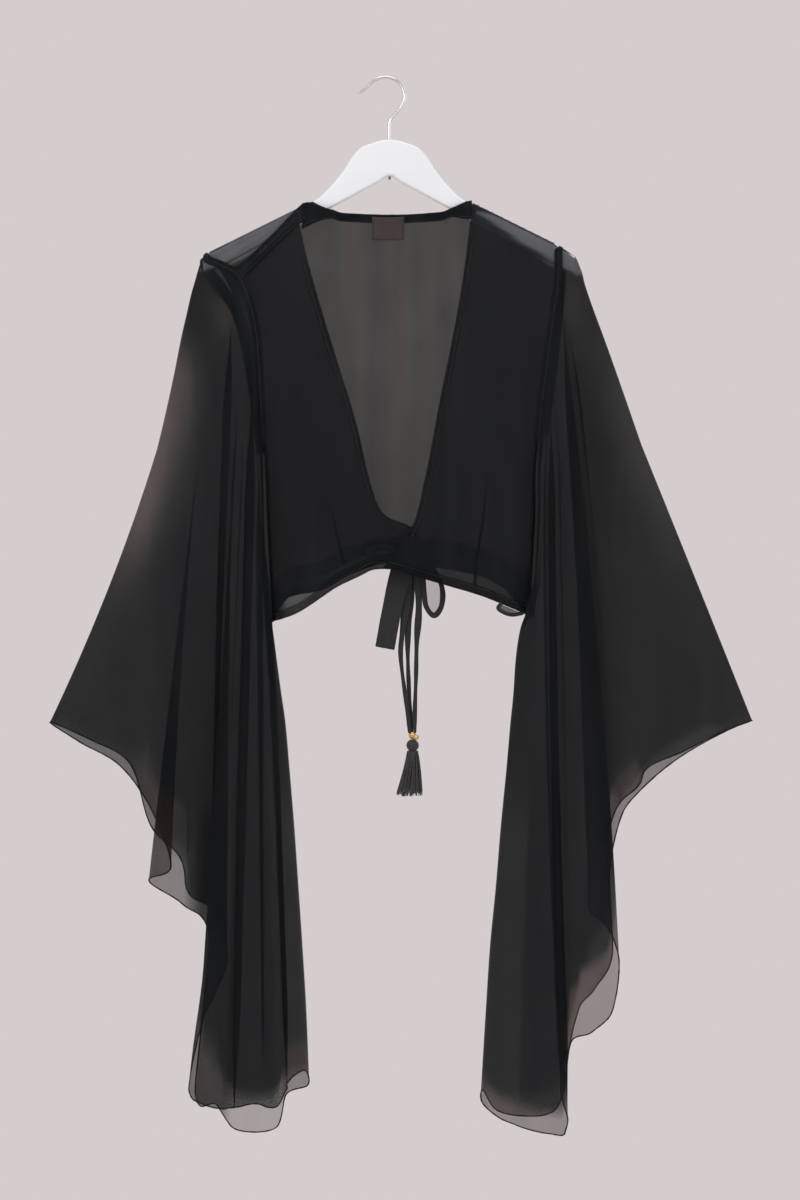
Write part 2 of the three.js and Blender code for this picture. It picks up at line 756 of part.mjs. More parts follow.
const rightSleeve = {
  ring: [
    { x: 207, y: 0, z: -196.6 },
    { x: 206.5, y: -5.7, z: -198.8 },
    { x: 206, y: -7.9, z: -204.5 },
    { x: 206, y: -8.8, z: -217 },
    { x: 205, y: -9.2, z: -240 },
    { x: 200, y: -9.8, z: -279 },
    { x: 187.5, y: -9.8, z: -372 },
    { x: 182, y: -5.5, z: -436 },
    { x: 181, y: 0, z: -467 },
    { x: 185.5, y: 5.8, z: -424 },
    { x: 196, y: 9.8, z: -346 },
    { x: 203.5, y: 9.8, z: -273 },
    { x: 207, y: 9.4, z: -232 },
    { x: 207, y: 8.8, z: -208 },
    { x: 206.5, y: 6.6, z: -199.5 },
  ],
  lines: [
    { at: 0, x: 432, y: 0, z: -753, bow: -4, tuck: 0, side: 0 },
    { at: 1, x: 398, y: -9, z: -763, bow: -2, tuck: 0, side: 0 },
    { at: 1.7, x: 352, y: -13, z: -785, bow: 0, tuck: 0, side: 0 },
    { at: 2.3, x: 312, y: -15, z: -805, bow: 8, tuck: 0, side: 0 },
    { at: 2.7, x: 292, y: -14, z: -837, bow: 12, tuck: 0, side: 0 },
    { at: 3.1, x: 256, y: -10, z: -905, bow: 8, tuck: 0, side: 0 },
    { at: 3.5, x: 236, y: -11, z: -966, bow: 5, tuck: -10, side: 0 },
    { at: 3.8, x: 254, y: -23, z: -993, bow: 6, tuck: 12, side: 0 },
    { at: 4.1, x: 276, y: -30, z: -1032, bow: 8, tuck: 40, side: 0 },
    { at: 4.4, x: 268, y: -39, z: -1093, bow: 8, tuck: 37, side: 0 },
    { at: 4.7, x: 244, y: -42, z: -1119, bow: 4, tuck: 18, side: 0 },
    { at: 5, x: 219, y: -37, z: -1131, bow: 0, tuck: 0, side: 0 },
    { at: 5.3, x: 208, y: -26, z: -1180, bow: -4, tuck: 0, side: 0 },
    { at: 5.6, x: 206, y: -37, z: -1232, bow: -6, tuck: 0, side: 0 },
    { at: 5.9, x: 190, y: -44, z: -1234, bow: -6, tuck: 0, side: 0 },
    { at: 6.3, x: 160, y: -44, z: -1230, bow: 0, tuck: 0, side: 0.3 },
    { at: 6.8, x: 133, y: -34, z: -1217, bow: 0, tuck: 0, side: 0.7 },
    { at: 7.5, x: 114, y: -18, z: -1199, bow: 0, tuck: 0, side: 1 },
    { at: 8.3, x: 115, y: 6, z: -1187, bow: 0, tuck: 0, side: 1 },
    { at: 8.9, x: 131, y: 20, z: -1199, bow: 0, tuck: 0, side: 1 },
    { at: 9.3, x: 160, y: 28, z: -1192, bow: 0, tuck: 0, side: 0.5 },
    { at: 9.7, x: 192, y: 31, z: -1194, bow: 0, tuck: 0, side: 0 },
    { at: 10.1, x: 213, y: 28, z: -1175, bow: 0, tuck: 3, side: 0 },
    { at: 10.5, x: 226, y: 22, z: -1135, bow: 0, tuck: 4, side: 0 },
    { at: 10.9, x: 229, y: 26, z: -1091, bow: 0, tuck: -3, side: 0 },
    { at: 11.3, x: 248, y: 34, z: -1067, bow: 4, tuck: 7, side: 0 },
    { at: 11.7, x: 264, y: 41, z: -1028, bow: 6, tuck: 11, side: 0 },
    { at: 12.1, x: 252, y: 26, z: -940, bow: 4, tuck: -8, side: 0 },
    { at: 12.5, x: 270, y: 16, z: -864, bow: 8, tuck: 0, side: 0 },
    { at: 12.9, x: 300, y: 13, z: -827, bow: 6, tuck: 0, side: 0 },
    { at: 13.4, x: 344, y: 11, z: -796, bow: 2, tuck: 0, side: 0 },
    { at: 14, x: 397, y: 8, z: -765, bow: -2, tuck: 0, side: 0 },
  ],
  cap: [
    { v: 0, x: 0, z: 0 },
    { v: 0.012, x: 8, z: 3.5 },
    { v: 0.028, x: 15, z: 4 },
    { v: 0.05, x: 12.5, z: 1 },
    { v: 0.08, x: 7, z: 0 },
    { v: 0.13, x: 3, z: 0 },
    { v: 0.2, x: 0, z: 0 },
  ],
  slack: [
    { v: 0, fall: 0 },
    { v: 0.225, fall: 0.05 },
    { v: 0.3, fall: 0.26 },
    { v: 0.38, fall: 0.4 },
    { v: 0.6, fall: 0.62 },
    { v: 1, fall: 1 },
  ],
};

function sleevePoint(sleeve, place, v) {
  const { ring, lines } = sleeve;
  const column = (key) => cyclic(lines.map((line) => line[key]), place);
  const i = Math.floor(place);
  const next = i + 1 < lines.length ? lines[i + 1].at : ring.length;
  const at = mix(lines[i].at, next, place - i);
  const top = (key) => cyclic(ring.map((row) => row[key]), at);
  const topY = top('y');
  const fall = mix(v, lookup(sleeve.slack, 'v', v, 'fall'), clamp01(column('side')));
  const nearShoulder = ease(-400, -300, top('z'));
  const overEnd = (1 - ease(6.8, 8.6, Math.abs(topY))) * nearShoulder;
  const tuck = column('tuck');
  const x = mix(top('x'), column('x') - tuck, fall) + tuck * v ** 1.5 + column('bow') * 4 * v * (1 - v)
    + lookup(sleeve.cap, 'v', v, 'x') * overEnd;
  const free = mix(topY, column('y'), v ** 0.75);
  const clear = Math.sign(topY) * Math.max(Math.abs(free), clothOverHanger + 0.3);
  const y = mix(free, clear, ease(4.5, 5.5, Math.abs(topY)) * (1 - ease(0.1, 0.2, v)) * nearShoulder);
  const z = mix(top('z'), column('z'), v) + lookup(sleeve.cap, 'v', v, 'z') * overEnd;
  return new THREE.Vector3(x, y, z);
}

function sleeveGrid(sleeve) {
  const count = sleeve.lines.length * sleeveSteps;
  return sleeveLevels.map((v) => {
    const row = [];
    for (let i = 0; i < count; i += 1) {
      row.push(sleevePoint(sleeve, i / sleeveSteps, v));
    }
    return row;
  });
}

function buildSleeves() {
  add('sleeve_left', wall(sleeveGrid(leftSleeve), clothWall, { closed: true }), chiffon());
  add('sleeve_right', wall(sleeveGrid(rightSleeve), clothWall, { closed: true }), chiffon());
}

// Trims lie on the panels: their points are the panels' own, moved out.
const trimOut = clothWall / 2 + trimLift + trimWall / 2;

function stepTowards(from, to, distance) {
  return from.clone().lerp(to, distance / from.distanceTo(to));
}

function hemTrim(grid, width, out) {
  const rows = [grid[0], grid[0].map((point, i) => stepTowards(point, grid[1][i], width))];
  return wall(rows, trimWall, { lift: out });
}

function edgeTrim(grid, edge, inside, width, out) {
  const rows = grid.map((row) => {
    const inner = stepTowards(row[edge], row[inside], width);
    return edge === 0 ? [row[0], inner] : [inner, row[edge]];
  });
  return wall(rows, trimWall, { lift: out });
}

function buildTrims() {
  add('hem_band_left', hemTrim(frontLeftGrid, hemBand, trimOut), seamCloth());
  add('hem_band_right', hemTrim(frontRightGrid, hemBand, trimOut), seamCloth());
  add('hem_band_back', hemTrim(backGrid, hemBand, -trimOut), seamCloth());

  const wrapRows = 3;
  const leftEdge = frontLeftGrid.slice(wrapRows, -1);
  const shortOfSeam = frontLeftGrid[frontLeftGrid.length - 1].map((point, i) => (
    stepTowards(point, frontLeftGrid[frontLeftGrid.length - 2][i], 15)
  ));
  leftEdge.push(shortOfSeam);
  const leftTrim = edgeTrim(leftEdge, frontColumns, frontColumns - 1, frontEdgeBand, trimOut);
  add('neckline_edge_left', leftTrim, seamCloth());
  const rightEdge = frontRightGrid.slice(1, bodyRows);
  add('neckline_edge_right', edgeTrim(rightEdge, 0, 1, frontEdgeBand, trimOut), seamCloth());

  const neckColumns = backStations()
    .map((u, i) => ({ x: backTop(u).x, i }))
    .filter(({ x }) => x > -84 && x < 98)
    .map(({ i }) => i);
  const neckRows = [bodyRows, bodyRows + atForwardSeam].map((j) => neckColumns.map((i) => backGrid[j][i]));
  add('neck_binding', wall(neckRows, trimWall, { lift: -trimOut }), seamCloth());

  const forwardBand = [
    { x: -83, z: -149 },
    { x: -91, z: -146 },
    { x: -172, z: -224 },
    { x: -163, z: -234 },
    { x: -93, z: -168 },
  ];
  const bandShape = new THREE.Shape(forwardBand.map((row) => new THREE.Vector2(row.x, row.z)));
  const seamLeft = new THREE.ExtrudeGeometry(bandShape, { depth: trimWall, bevelEnabled: false });
  seamLeft.rotateX(Math.PI / 2);
  seamLeft.translate(0, -clothOverHanger - 0.8 - clothWall / 2 - trimLift, 0);
  add('shoulder_seam_left', seamLeft, seamCloth());

  const ridgeRows = [-2.5, 2.5].map((y) => [106, 200].map((x) => (
    new THREE.Vector3(x, y, hangerTopAt(x) + crestLift + clothWall / 2 + trimLift + trimWall / 2)
  )));
  add('shoulder_seam_right', wall(ridgeRows, trimWall), seamCloth());
}

// Each armhole seam is a tape over the joint, in front and behind, open under the arm.
function armholeTape(sleeve, from, to, out) {
  const steps = 14;
  const rows = [[], []];
  for (let i = 0; i <= steps; i += 1) {
    const place = mix(from, to, i / steps);
    const wrapped = (place + sleeve.lines.length) % sleeve.lines.length;
    const start = sleevePoint(sleeve, wrapped, 0);
    const next = sleevePoint(sleeve, wrapped, sleeveLevels[1]);
    rows[0].push(stepTowards(start, next, -5));
    rows[1].push(stepTowards(start, next, 3));
  }
  return wall(rows, trimWall, { lift: out });
}

function buildArmholeSeams() {
  add('armhole_seam_left_front', armholeTape(leftSleeve, 1.6, 17, -tapeLift), seamCloth());
  add('armhole_seam_left_back', armholeTape(leftSleeve, -12.5, -1.7, -tapeLift), seamCloth());
  add('armhole_seam_right_front', armholeTape(rightSleeve, 1.6, 16, tapeLift), seamCloth());
  add('armhole_seam_right_back', armholeTape(rightSleeve, -12.5, -1.7, tapeLift), seamCloth());
}

function buildLabel() {
  const label = new THREE.BoxGeometry(labelSize.width, labelSize.wall, labelSize.height);
  const depth = clothOverHanger - clothWall / 2 - 0.6 - labelSize.wall;
  label.translate(labelSize.x, depth, labelSize.top - labelSize.height / 2);
  add('label', label, labelCloth());
}

// Ties: a strip round the back of the waist, a knot, two loops, a flat end and three cords
const knot = { x: 34, z: -556, width: 24, depth: 12, height: 17 };
const tieFront = 15.9;

const bowRight = [
  { x: 43, y: 24.2, z: -562 },
  { x: 61, y: 25, z: -579 },
  { x: 69, y: 25, z: -600 },
  { x: 67, y: 24, z: -621 },
  { x: 59, y: 23, z: -630 },
  { x: 50, y: 22, z: -620 },
  { x: 47.5, y: 21, z: -600 },
  { x: 45, y: 20, z: -562.2 },
];
const bowLeft = [
  { x: 23, y: 26.9, z: -551 },
  { x: 2, y: 28, z: -543 },
  { x: -20, y: 27, z: -547 },
  { x: -26, y: 24, z: -556 },
  { x: -14, y: 22, z: -560.5 },
  { x: 6, y: 22, z: -558 },
  { x: 21.6, y: 21.9, z: -557 },
];
const flatEnd = [
  { x: 27, y: 18.3, z: -561.5 },
  { x: 14, y: 18, z: -590 },
  { x: 5, y: 17.5, z: -622 },
  { x: -3.5, y: 17, z: -668 },
];
const strands = [
  [
    { x: 30.5, y: 22.3, z: -564.6 },
    { x: 25, y: 22.3, z: -612 },
    { x: 17.6, y: 21.3, z: -655 },
    { x: 15.3, y: 20, z: -673 },
    { x: 17.6, y: 20, z: -694 },
    { x: 24.7, y: 20, z: -729 },
    { x: 30, y: 20, z: -767.3 },
  ],
  [
    { x: 34.5, y: 25.2, z: -564.3 },
    { x: 31, y: 27, z: -612 },
    { x: 28, y: 26, z: -659 },
    { x: 29.4, y: 26, z: -717 },
    { x: 33, y: 25, z: -767 },
  ],
  [
    { x: 39.5, y: 21, z: -564 },
    { x: 41, y: 21, z: -623 },
    { x: 38.7, y: 21, z: -659 },
    { x: 37.6, y: 21, z: -706 },
    { x: 36.4, y: 21, z: -741 },
    { x: 36.6, y: 20.5, z: -767.3 },
  ],
];
const beads = [
  { x: 33.5, y: 22.5, z: -771.4, radius: 4 },
  { x: 37.6, y: 16.8, z: -773.4, radius: 3 },
];
const tasselAt = { x: 33.7, y: 22.5, z: -783.4 };

function ball(radius, wide, high) {
  return new THREE.SphereGeometry(radius, wide, high);
}

function buildTies() {
  const place = (grid, share) => grid[0].map((point, i) => point.clone().lerp(grid[1][i], share));
  const strip = [place(backGrid, 0.3), place(backGrid, 0.72)];
  add('waist_tie', wall(strip, 1, { lift: -(clothWall / 2 + trimLift + 0.5) }), tieCloth());

  const knotBall = ball(0.5, 12, 8);
  knotBall.scale(knot.width, knot.depth, knot.height);
  knotBall.translate(knot.x, tieFront + knot.depth / 2, knot.z);
  add('tie_knot', knotBall, tieCloth());

  add('bow_loop_right', bar(bowRight, 2.4, 6, 26), tieCloth());
  add('bow_loop_left', bar(bowLeft, 2.4, 6, 20), tieCloth());
  add('tie_end', band(flatEnd, wideTie, 1.2, 8), tieCloth());
  strands.forEach((rows, i) => {
    add(`tie_strand_${i + 1}`, bar(rows, narrowTie / 2 - 0.7, 6, 16), tieCloth());
  });
  beads.forEach((bead, i) => {
    const geometry = ball(bead.radius, 10, 8);
    geometry.translate(bead.x, bead.y, bead.z);
    add(`bead_${i + 1}`, geometry, goldBead());
  });

  const hem = frontRightGrid[0];
  const hemAt = (x) => {
    const i = hem.findIndex((point) => point.x > x);
    return hem[i - 1].clone().lerp(hem[i], (x - hem[i - 1].x) / (hem[i].x - hem[i - 1].x));
  };
  const start = hemAt(137);
  const end = hemAt(161);
  const sideLoop = [
    { x: start.x, y: start.y, z: start.z - 1.2 },
    { x: 133, y: start.y + 1, z: -624 },
    { x: 140, y: start.y + 2, z: -632 },
    { x: 151.5, y: end.y, z: -634 },
    { x: end.x, y: end.y, z: end.z - 1.2 },
  ];
  add('side_loop', bar(sideLoop, 1.6, 6, 12), tieCloth());
}

// Tassel: a ball head with every strand fused into it
function asManifold(geometry) {
  const plain = geometry.clone();
  plain.deleteAttribute('normal');
  plain.deleteAttribute('uv');
  const merged = mergeVertices(plain, 1e-4);
  return new wasm.Manifold(new wasm.Mesh({
    numProp: 3,
    vertProperties: merged.attributes.position.array,
    triVerts: new Uint32Array(merged.index.array),
  }));
}

function fromManifold(solid) {
  const mesh = solid.getMesh();
  const geometry = new THREE.BufferGeometry();
  geometry.setAttribute('position', new THREE.BufferAttribute(new Float32Array(mesh.vertProperties), 3));
  geometry.setIndex(new THREE.BufferAttribute(new Uint32Array(mesh.triVerts), 1));
  return geometry;
}

function buildTassel() {
  let solid = asManifold(ball(tasselHead / 2, 14, 10));
  const golden = 2.399963;
  for (let i = 0; i < tasselStrands; i += 1) {
    const share = Math.sqrt((i + 0.5) / tasselStrands);
    const angle = i * golden;
    const length = tasselLength * (0.93 + 0.09 * Math.sin(i * 1.7));
    const strand = new THREE.CylinderGeometry(0.55, 0.45, 1, 3, 1);
    strand.deleteAttribute('normal');
    const top = new THREE.Vector3(Math.cos(angle) * share * 4.6, Math.sin(angle) * share * 4.6, -2.5);
    const spread = 13.5 * share + 1.2 * Math.sin(i * 2.3);
    const low = new THREE.Vector3(Math.cos(angle) * spread, Math.sin(angle) * spread * 0.8, -5 - length);
    const along = low.clone().sub(top);
    strand.scale(1, along.length(), 1);
    strand.applyQuaternion(new THREE.Quaternion().setFromUnitVectors(
      new THREE.Vector3(0, 1, 0),
      along.clone().normalize(),
    ));
    const middle = top.clone().add(low).multiplyScalar(0.5);
    strand.translate(middle.x, middle.y, middle.z);
    solid = solid.add(asManifold(strand));
  }
  const geometry = fromManifold(solid);
  geometry.translate(tasselAt.x, tasselAt.y, tasselAt.z);
  add('tassel', geometry, tieCloth());
}

buildHanger();
buildTorso();
buildSleeves();
buildTrims();
buildArmholeSeams();
buildLabel();
buildTies();
buildTassel();

export default root;
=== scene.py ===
import bisect
import json
import math

import bpy
import bmesh
from mathutils import Vector, noise
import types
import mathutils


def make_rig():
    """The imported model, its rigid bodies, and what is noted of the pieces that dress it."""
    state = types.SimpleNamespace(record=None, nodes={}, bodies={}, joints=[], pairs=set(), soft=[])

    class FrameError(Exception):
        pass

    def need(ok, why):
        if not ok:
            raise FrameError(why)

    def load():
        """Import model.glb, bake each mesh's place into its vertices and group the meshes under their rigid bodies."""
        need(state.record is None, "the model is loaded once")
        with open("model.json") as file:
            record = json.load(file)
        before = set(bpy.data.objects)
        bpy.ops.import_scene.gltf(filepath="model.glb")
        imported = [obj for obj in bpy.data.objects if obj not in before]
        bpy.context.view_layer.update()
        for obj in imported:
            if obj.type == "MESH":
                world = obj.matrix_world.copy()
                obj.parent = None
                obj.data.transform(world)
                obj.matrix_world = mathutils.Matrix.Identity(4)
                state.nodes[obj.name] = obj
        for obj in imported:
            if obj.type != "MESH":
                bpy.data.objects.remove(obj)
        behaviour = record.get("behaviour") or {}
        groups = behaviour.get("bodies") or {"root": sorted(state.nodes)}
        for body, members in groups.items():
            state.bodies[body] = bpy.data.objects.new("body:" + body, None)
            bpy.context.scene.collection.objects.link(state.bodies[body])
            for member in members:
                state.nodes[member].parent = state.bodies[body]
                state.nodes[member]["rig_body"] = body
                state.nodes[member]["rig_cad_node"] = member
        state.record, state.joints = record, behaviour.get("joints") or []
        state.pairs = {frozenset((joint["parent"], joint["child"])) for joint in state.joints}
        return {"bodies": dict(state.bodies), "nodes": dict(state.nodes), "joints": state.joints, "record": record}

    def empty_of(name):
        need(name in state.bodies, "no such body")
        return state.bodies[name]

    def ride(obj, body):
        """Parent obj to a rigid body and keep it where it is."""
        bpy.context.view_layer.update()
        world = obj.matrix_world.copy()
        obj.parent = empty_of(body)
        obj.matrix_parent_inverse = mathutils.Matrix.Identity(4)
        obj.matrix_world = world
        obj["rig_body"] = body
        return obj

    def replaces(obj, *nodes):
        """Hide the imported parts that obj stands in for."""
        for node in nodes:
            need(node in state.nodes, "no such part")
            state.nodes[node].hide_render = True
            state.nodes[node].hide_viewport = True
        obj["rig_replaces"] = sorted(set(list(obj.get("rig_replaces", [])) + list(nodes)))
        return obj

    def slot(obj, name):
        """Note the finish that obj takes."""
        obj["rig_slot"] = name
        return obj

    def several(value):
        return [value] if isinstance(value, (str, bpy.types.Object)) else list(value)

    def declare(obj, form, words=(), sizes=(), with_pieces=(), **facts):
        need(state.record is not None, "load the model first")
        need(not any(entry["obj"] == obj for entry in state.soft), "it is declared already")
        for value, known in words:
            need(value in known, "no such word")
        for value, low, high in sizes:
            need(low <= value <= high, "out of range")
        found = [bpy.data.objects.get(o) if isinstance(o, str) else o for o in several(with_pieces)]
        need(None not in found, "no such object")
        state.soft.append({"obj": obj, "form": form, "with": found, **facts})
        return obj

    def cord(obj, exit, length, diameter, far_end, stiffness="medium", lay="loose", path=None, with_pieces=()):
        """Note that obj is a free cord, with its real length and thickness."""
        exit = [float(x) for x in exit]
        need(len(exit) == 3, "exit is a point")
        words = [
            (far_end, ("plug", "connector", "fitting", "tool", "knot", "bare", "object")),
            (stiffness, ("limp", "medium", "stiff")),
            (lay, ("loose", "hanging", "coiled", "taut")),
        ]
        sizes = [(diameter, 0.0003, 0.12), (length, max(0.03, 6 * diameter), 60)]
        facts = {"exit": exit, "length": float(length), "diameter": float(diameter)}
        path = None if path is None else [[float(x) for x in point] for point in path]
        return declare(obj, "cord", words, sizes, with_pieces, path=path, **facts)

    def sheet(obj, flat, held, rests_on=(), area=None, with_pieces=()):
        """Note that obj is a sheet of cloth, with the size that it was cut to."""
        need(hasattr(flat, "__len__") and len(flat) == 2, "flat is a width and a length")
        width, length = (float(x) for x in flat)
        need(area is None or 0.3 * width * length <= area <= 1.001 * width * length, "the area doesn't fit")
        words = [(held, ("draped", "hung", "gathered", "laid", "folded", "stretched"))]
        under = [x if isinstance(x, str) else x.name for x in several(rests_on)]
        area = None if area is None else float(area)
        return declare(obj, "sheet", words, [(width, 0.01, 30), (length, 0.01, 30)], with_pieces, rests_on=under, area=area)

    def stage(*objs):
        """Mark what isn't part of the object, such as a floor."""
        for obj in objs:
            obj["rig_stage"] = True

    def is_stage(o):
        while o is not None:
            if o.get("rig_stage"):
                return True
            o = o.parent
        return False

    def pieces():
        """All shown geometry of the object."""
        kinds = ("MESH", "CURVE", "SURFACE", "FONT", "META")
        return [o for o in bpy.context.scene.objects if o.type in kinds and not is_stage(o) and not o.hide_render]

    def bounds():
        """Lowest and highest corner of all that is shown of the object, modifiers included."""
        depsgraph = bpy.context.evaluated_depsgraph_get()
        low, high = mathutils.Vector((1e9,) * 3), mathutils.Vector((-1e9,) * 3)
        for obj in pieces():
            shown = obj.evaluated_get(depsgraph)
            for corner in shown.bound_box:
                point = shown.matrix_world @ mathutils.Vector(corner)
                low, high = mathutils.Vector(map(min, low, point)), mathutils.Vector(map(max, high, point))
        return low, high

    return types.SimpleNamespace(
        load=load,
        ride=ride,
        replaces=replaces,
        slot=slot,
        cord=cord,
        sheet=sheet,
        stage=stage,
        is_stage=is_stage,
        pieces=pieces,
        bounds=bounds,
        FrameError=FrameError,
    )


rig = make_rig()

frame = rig.load()
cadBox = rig.bounds()
mm = 0.001  # every table below is in millimetres, X to the right, Z up, seen from the front


# Numbers and curves

def mix(a, b, t):
    return a + (b - a) * t


def clamp(t, low=0.0, high=1.0):
    return min(high, max(low, t))


def ease(start, end, value):
    t = clamp((value - start) / (end - start))
    return t * t * (3 - 2 * t)


def bump(centre, width, value):
    d = (value - centre) / width
    return math.exp(-d * d)


# a cubic from p to q, given the slopes at both ends
def hermite(p, leaving, q, arriving, t):
    t2, t3 = t * t, t * t * t
    return (p * (2 * t3 - 3 * t2 + 1) + leaving * (t3 - 2 * t2 + t)
            + q * (3 * t2 - 2 * t3) + arriving * (t3 - t2))


# how far along the points each of them is
def reachedAlong(points):
    reached = [0.0]
    for a, b in zip(points, points[1:]):
        reached.append(reached[-1] + (b - a).length)
    return reached


# straight between the rows of a two-column table
def lookup(rows, place):
    if place <= rows[0][0]:
        return rows[0][1]
    for (a, p), (b, q) in zip(rows, rows[1:]):
        if place <= b:
            return mix(p, q, (place - a) / (b - a))
    return rows[-1][1]


# like lookup, but with rounded corners at the rows
def smoothRows(rows, place):
    keys = [row[0] for row in rows]
    if place <= keys[0]:
        return rows[0][1]
    if place >= keys[-1]:
        return rows[-1][1]
    i = bisect.bisect_right(keys, place) - 1
    step = keys[i + 1] - keys[i]
    t = (place - keys[i]) / step
    p, q = rows[i][1], rows[i + 1][1]
    slope = [0, 0]
    for end, k in enumerate((i, i + 1)):
        if 0 < k < len(rows) - 1:
            left = (rows[k][1] - rows[k - 1][1]) / (keys[k] - keys[k - 1])
            right = (rows[k + 1][1] - rows[k][1]) / (keys[k + 1] - keys[k])
            slope[end] = 0 if left * right <= 0 else 2 * left * right / (left + right)
        else:
            slope[end] = (q - p) / step
    return hermite(p, step * slope[0], q, step * slope[1], t)


# smooth value of a closed table at a place counted in rows
def cyclic(values, place):
    count = len(values)
    i = math.floor(place)
    a, b, c, d = (values[(i + k) % count] for k in (-1, 0, 1, 2))
    return hermite(b, (c - a) / 2, c, (d - b) / 2, place - i)


# a smooth line through points, read by its share of the length
class Path:

    def __init__(self, rows, perSpan=12):
        knots = [Vector(row) if len(row) == 3 else Vector((row[0], 0, row[1])) for row in rows]
        before = knots[0] * 2 - knots[1]
        after = knots[-1] * 2 - knots[-2]
        knots = [before, *knots, after]
        self.points = [knots[1]]
        for i in range(1, len(knots) - 2):
            self.points += self.span(knots[i - 1:i + 3], perSpan)
        self.reached = reachedAlong(self.points)
        self.length = self.reached[-1]

    @staticmethod
    def span(knots, perSpan):
        p0, p1, p2, p3 = knots
        d0, d1, d2 = (math.sqrt((b - a).length) for a, b in zip(knots, knots[1:]))
        start = ((p1 - p0) / d0 - (p2 - p0) / (d0 + d1) + (p2 - p1) / d1) * d1
        end = ((p2 - p1) / d1 - (p3 - p1) / (d1 + d2) + (p3 - p2) / d2) * d1
        return [hermite(p1, start, p2, end, k / perSpan) for k in range(1, perSpan + 1)]

    def at(self, share):
        goal = clamp(share) * self.length
        i = clamp(bisect.bisect_right(self.reached, goal) - 1, 0, len(self.points) - 2)
        step = self.reached[i + 1] - self.reached[i]
        return self.points[i].lerp(self.points[i + 1], (goal - self.reached[i]) / step if step else 0)

    def evenly(self, steps):
        return [self.at(i / steps) for i in range(steps + 1)]


# Meshes

def placed(obj):
    bpy.context.collection.objects.link(obj)
    return obj


def gridFaces(rows, columns, closed=True):
    return [(j * columns + i, j * columns + (i + 1) % columns,
             (j + 1) * columns + (i + 1) % columns, (j + 1) * columns + i)
            for j in range(rows - 1) for i in range(columns if closed else columns - 1)]


def meshObject(name, vertices, faces):
    mesh = bpy.data.meshes.new(name)
    mesh.from_pydata([v * mm for v in vertices], [], faces)
    mesh.update()
    mesh.shade_smooth()
    return placed(bpy.data.objects.new(name, mesh))


# the evaluated object as one plain mesh, its modifiers gone
def plainMesh(obj):
    evaluated = obj.evaluated_get(bpy.context.evaluated_depsgraph_get())
    mesh = bpy.data.meshes.new_from_object(evaluated)
    mesh.name = obj.name
    if obj.type == "MESH":
        obj.modifiers.clear()
        obj.data = mesh
        return obj
    made = placed(bpy.data.objects.new(obj.name, mesh))
    name = obj.name
    bpy.data.objects.remove(obj)
    made.name = name
    return made


def facingOut(obj):
    mesh = bmesh.new()
    mesh.from_mesh(obj.data)
    bmesh.ops.remove_doubles(mesh, verts=mesh.verts, dist=1e-6)
    bmesh.ops.recalc_face_normals(mesh, faces=mesh.faces)
    mesh.to_mesh(obj.data)
    mesh.free()
    return obj


def gridNormals(grid, closed):
    rows, columns = len(grid), len(grid[0])
    normals = []
    for j in range(rows):
        line = []
        for i in range(columns):
            left = (i - 1) % columns if closed else max(0, i - 1)
            right = (i + 1) % columns if closed else min(columns - 1, i + 1)
            across = grid[j][right] - grid[j][left]
            along = grid[min(rows - 1, j + 1)][i] - grid[max(0, j - 1)][i]
            line.append(across.cross(along).normalized())
        normals.append(line)
    return normals


def moved(grid, lift, closed=False):
    if not lift:
        return grid
    normals = gridNormals(grid, closed)
    return [[p + n * lift for p, n in zip(line, normal)] for line, normal in zip(grid, normals)]


# a thin shell on a grid of points, its weave laid out in metres of cloth
def clothFromGrid(name, grid, material, wall=0.4, closed=False, lift=0.0, marks=None):
    rows, columns = len(grid), len(grid[0])
    grid = moved(grid, lift, closed)
    vertices = [p for line in grid for p in line]
    spans = columns if closed else columns - 1
    obj = meshObject(name, vertices, gridFaces(rows, columns, closed))
    widest = grid[-1] if closed else grid[rows // 2]
    across = reachedAlong([*widest, widest[0]] if closed else widest)
    along = reachedAlong([line[columns // 2] for line in grid])
    layer = obj.data.uv_layers.new(name="clothUV")
    k = 0
    for j in range(rows - 1):
        for i in range(spans):
            for di, dj in ((0, 0), (1, 0), (1, 1), (0, 1)):
                layer.data[k].uv = (across[i + di] * mm, along[j + dj] * mm)
                k += 1
    for mark, values in (marks or {}).items():
        attribute = obj.data.attributes.new(mark, "FLOAT", "POINT")
        attribute.data.foreach_set("value", [v for line in values for v in line])
    solidify = obj.modifiers.new("wall", "SOLIDIFY")
    solidify.thickness = wall * mm
    solidify.offset = 0
    solidify.use_even_offset = False
    plainMesh(obj)
    obj.data.materials.append(material)
    return obj


# Shader helpers: sockets that take part in sums, and one way to make a node

class Socket:
    def __init__(self, build, link):
        self.build = build
        self.link = link

    def maths(self, operation, *others):
        return self.build.node("ShaderNodeMath", {"operation": operation}, [self, *others])[0]

    def __add__(self, other):
        return self.maths("ADD", other)

    def __sub__(self, other):
        return self.maths("SUBTRACT", other)

    def __rsub__(self, other):
        return self.build.node("ShaderNodeMath", {"operation": "SUBTRACT"}, [other, self])[0]

    def __mul__(self, other):
        return self.maths("MULTIPLY", other)

    def __truediv__(self, other):
        return self.maths("DIVIDE", other)

    __radd__ = __add__
    __rmul__ = __mul__

    def sine(self):
        return self.maths("SINE")

    def within(self, low, high):
        return self.maths("MAXIMUM", low).maths("MINIMUM", high)


# a node in a shader or geometry tree; inputs are sockets or plain values
def addNode(tree, kind, settings, inputs):
    made = tree.nodes.new(kind)
    for key, value in (settings or {}).items():
        setattr(made, key, value)
    pairs = inputs.items() if isinstance(inputs, dict) else enumerate(inputs or [])
    for key, value in pairs:
        source = value.link if isinstance(value, Socket) else value
        if isinstance(source, bpy.types.NodeSocket):
            tree.links.new(source, made.inputs[key])
        else:
            made.inputs[key].default_value = source
    return made


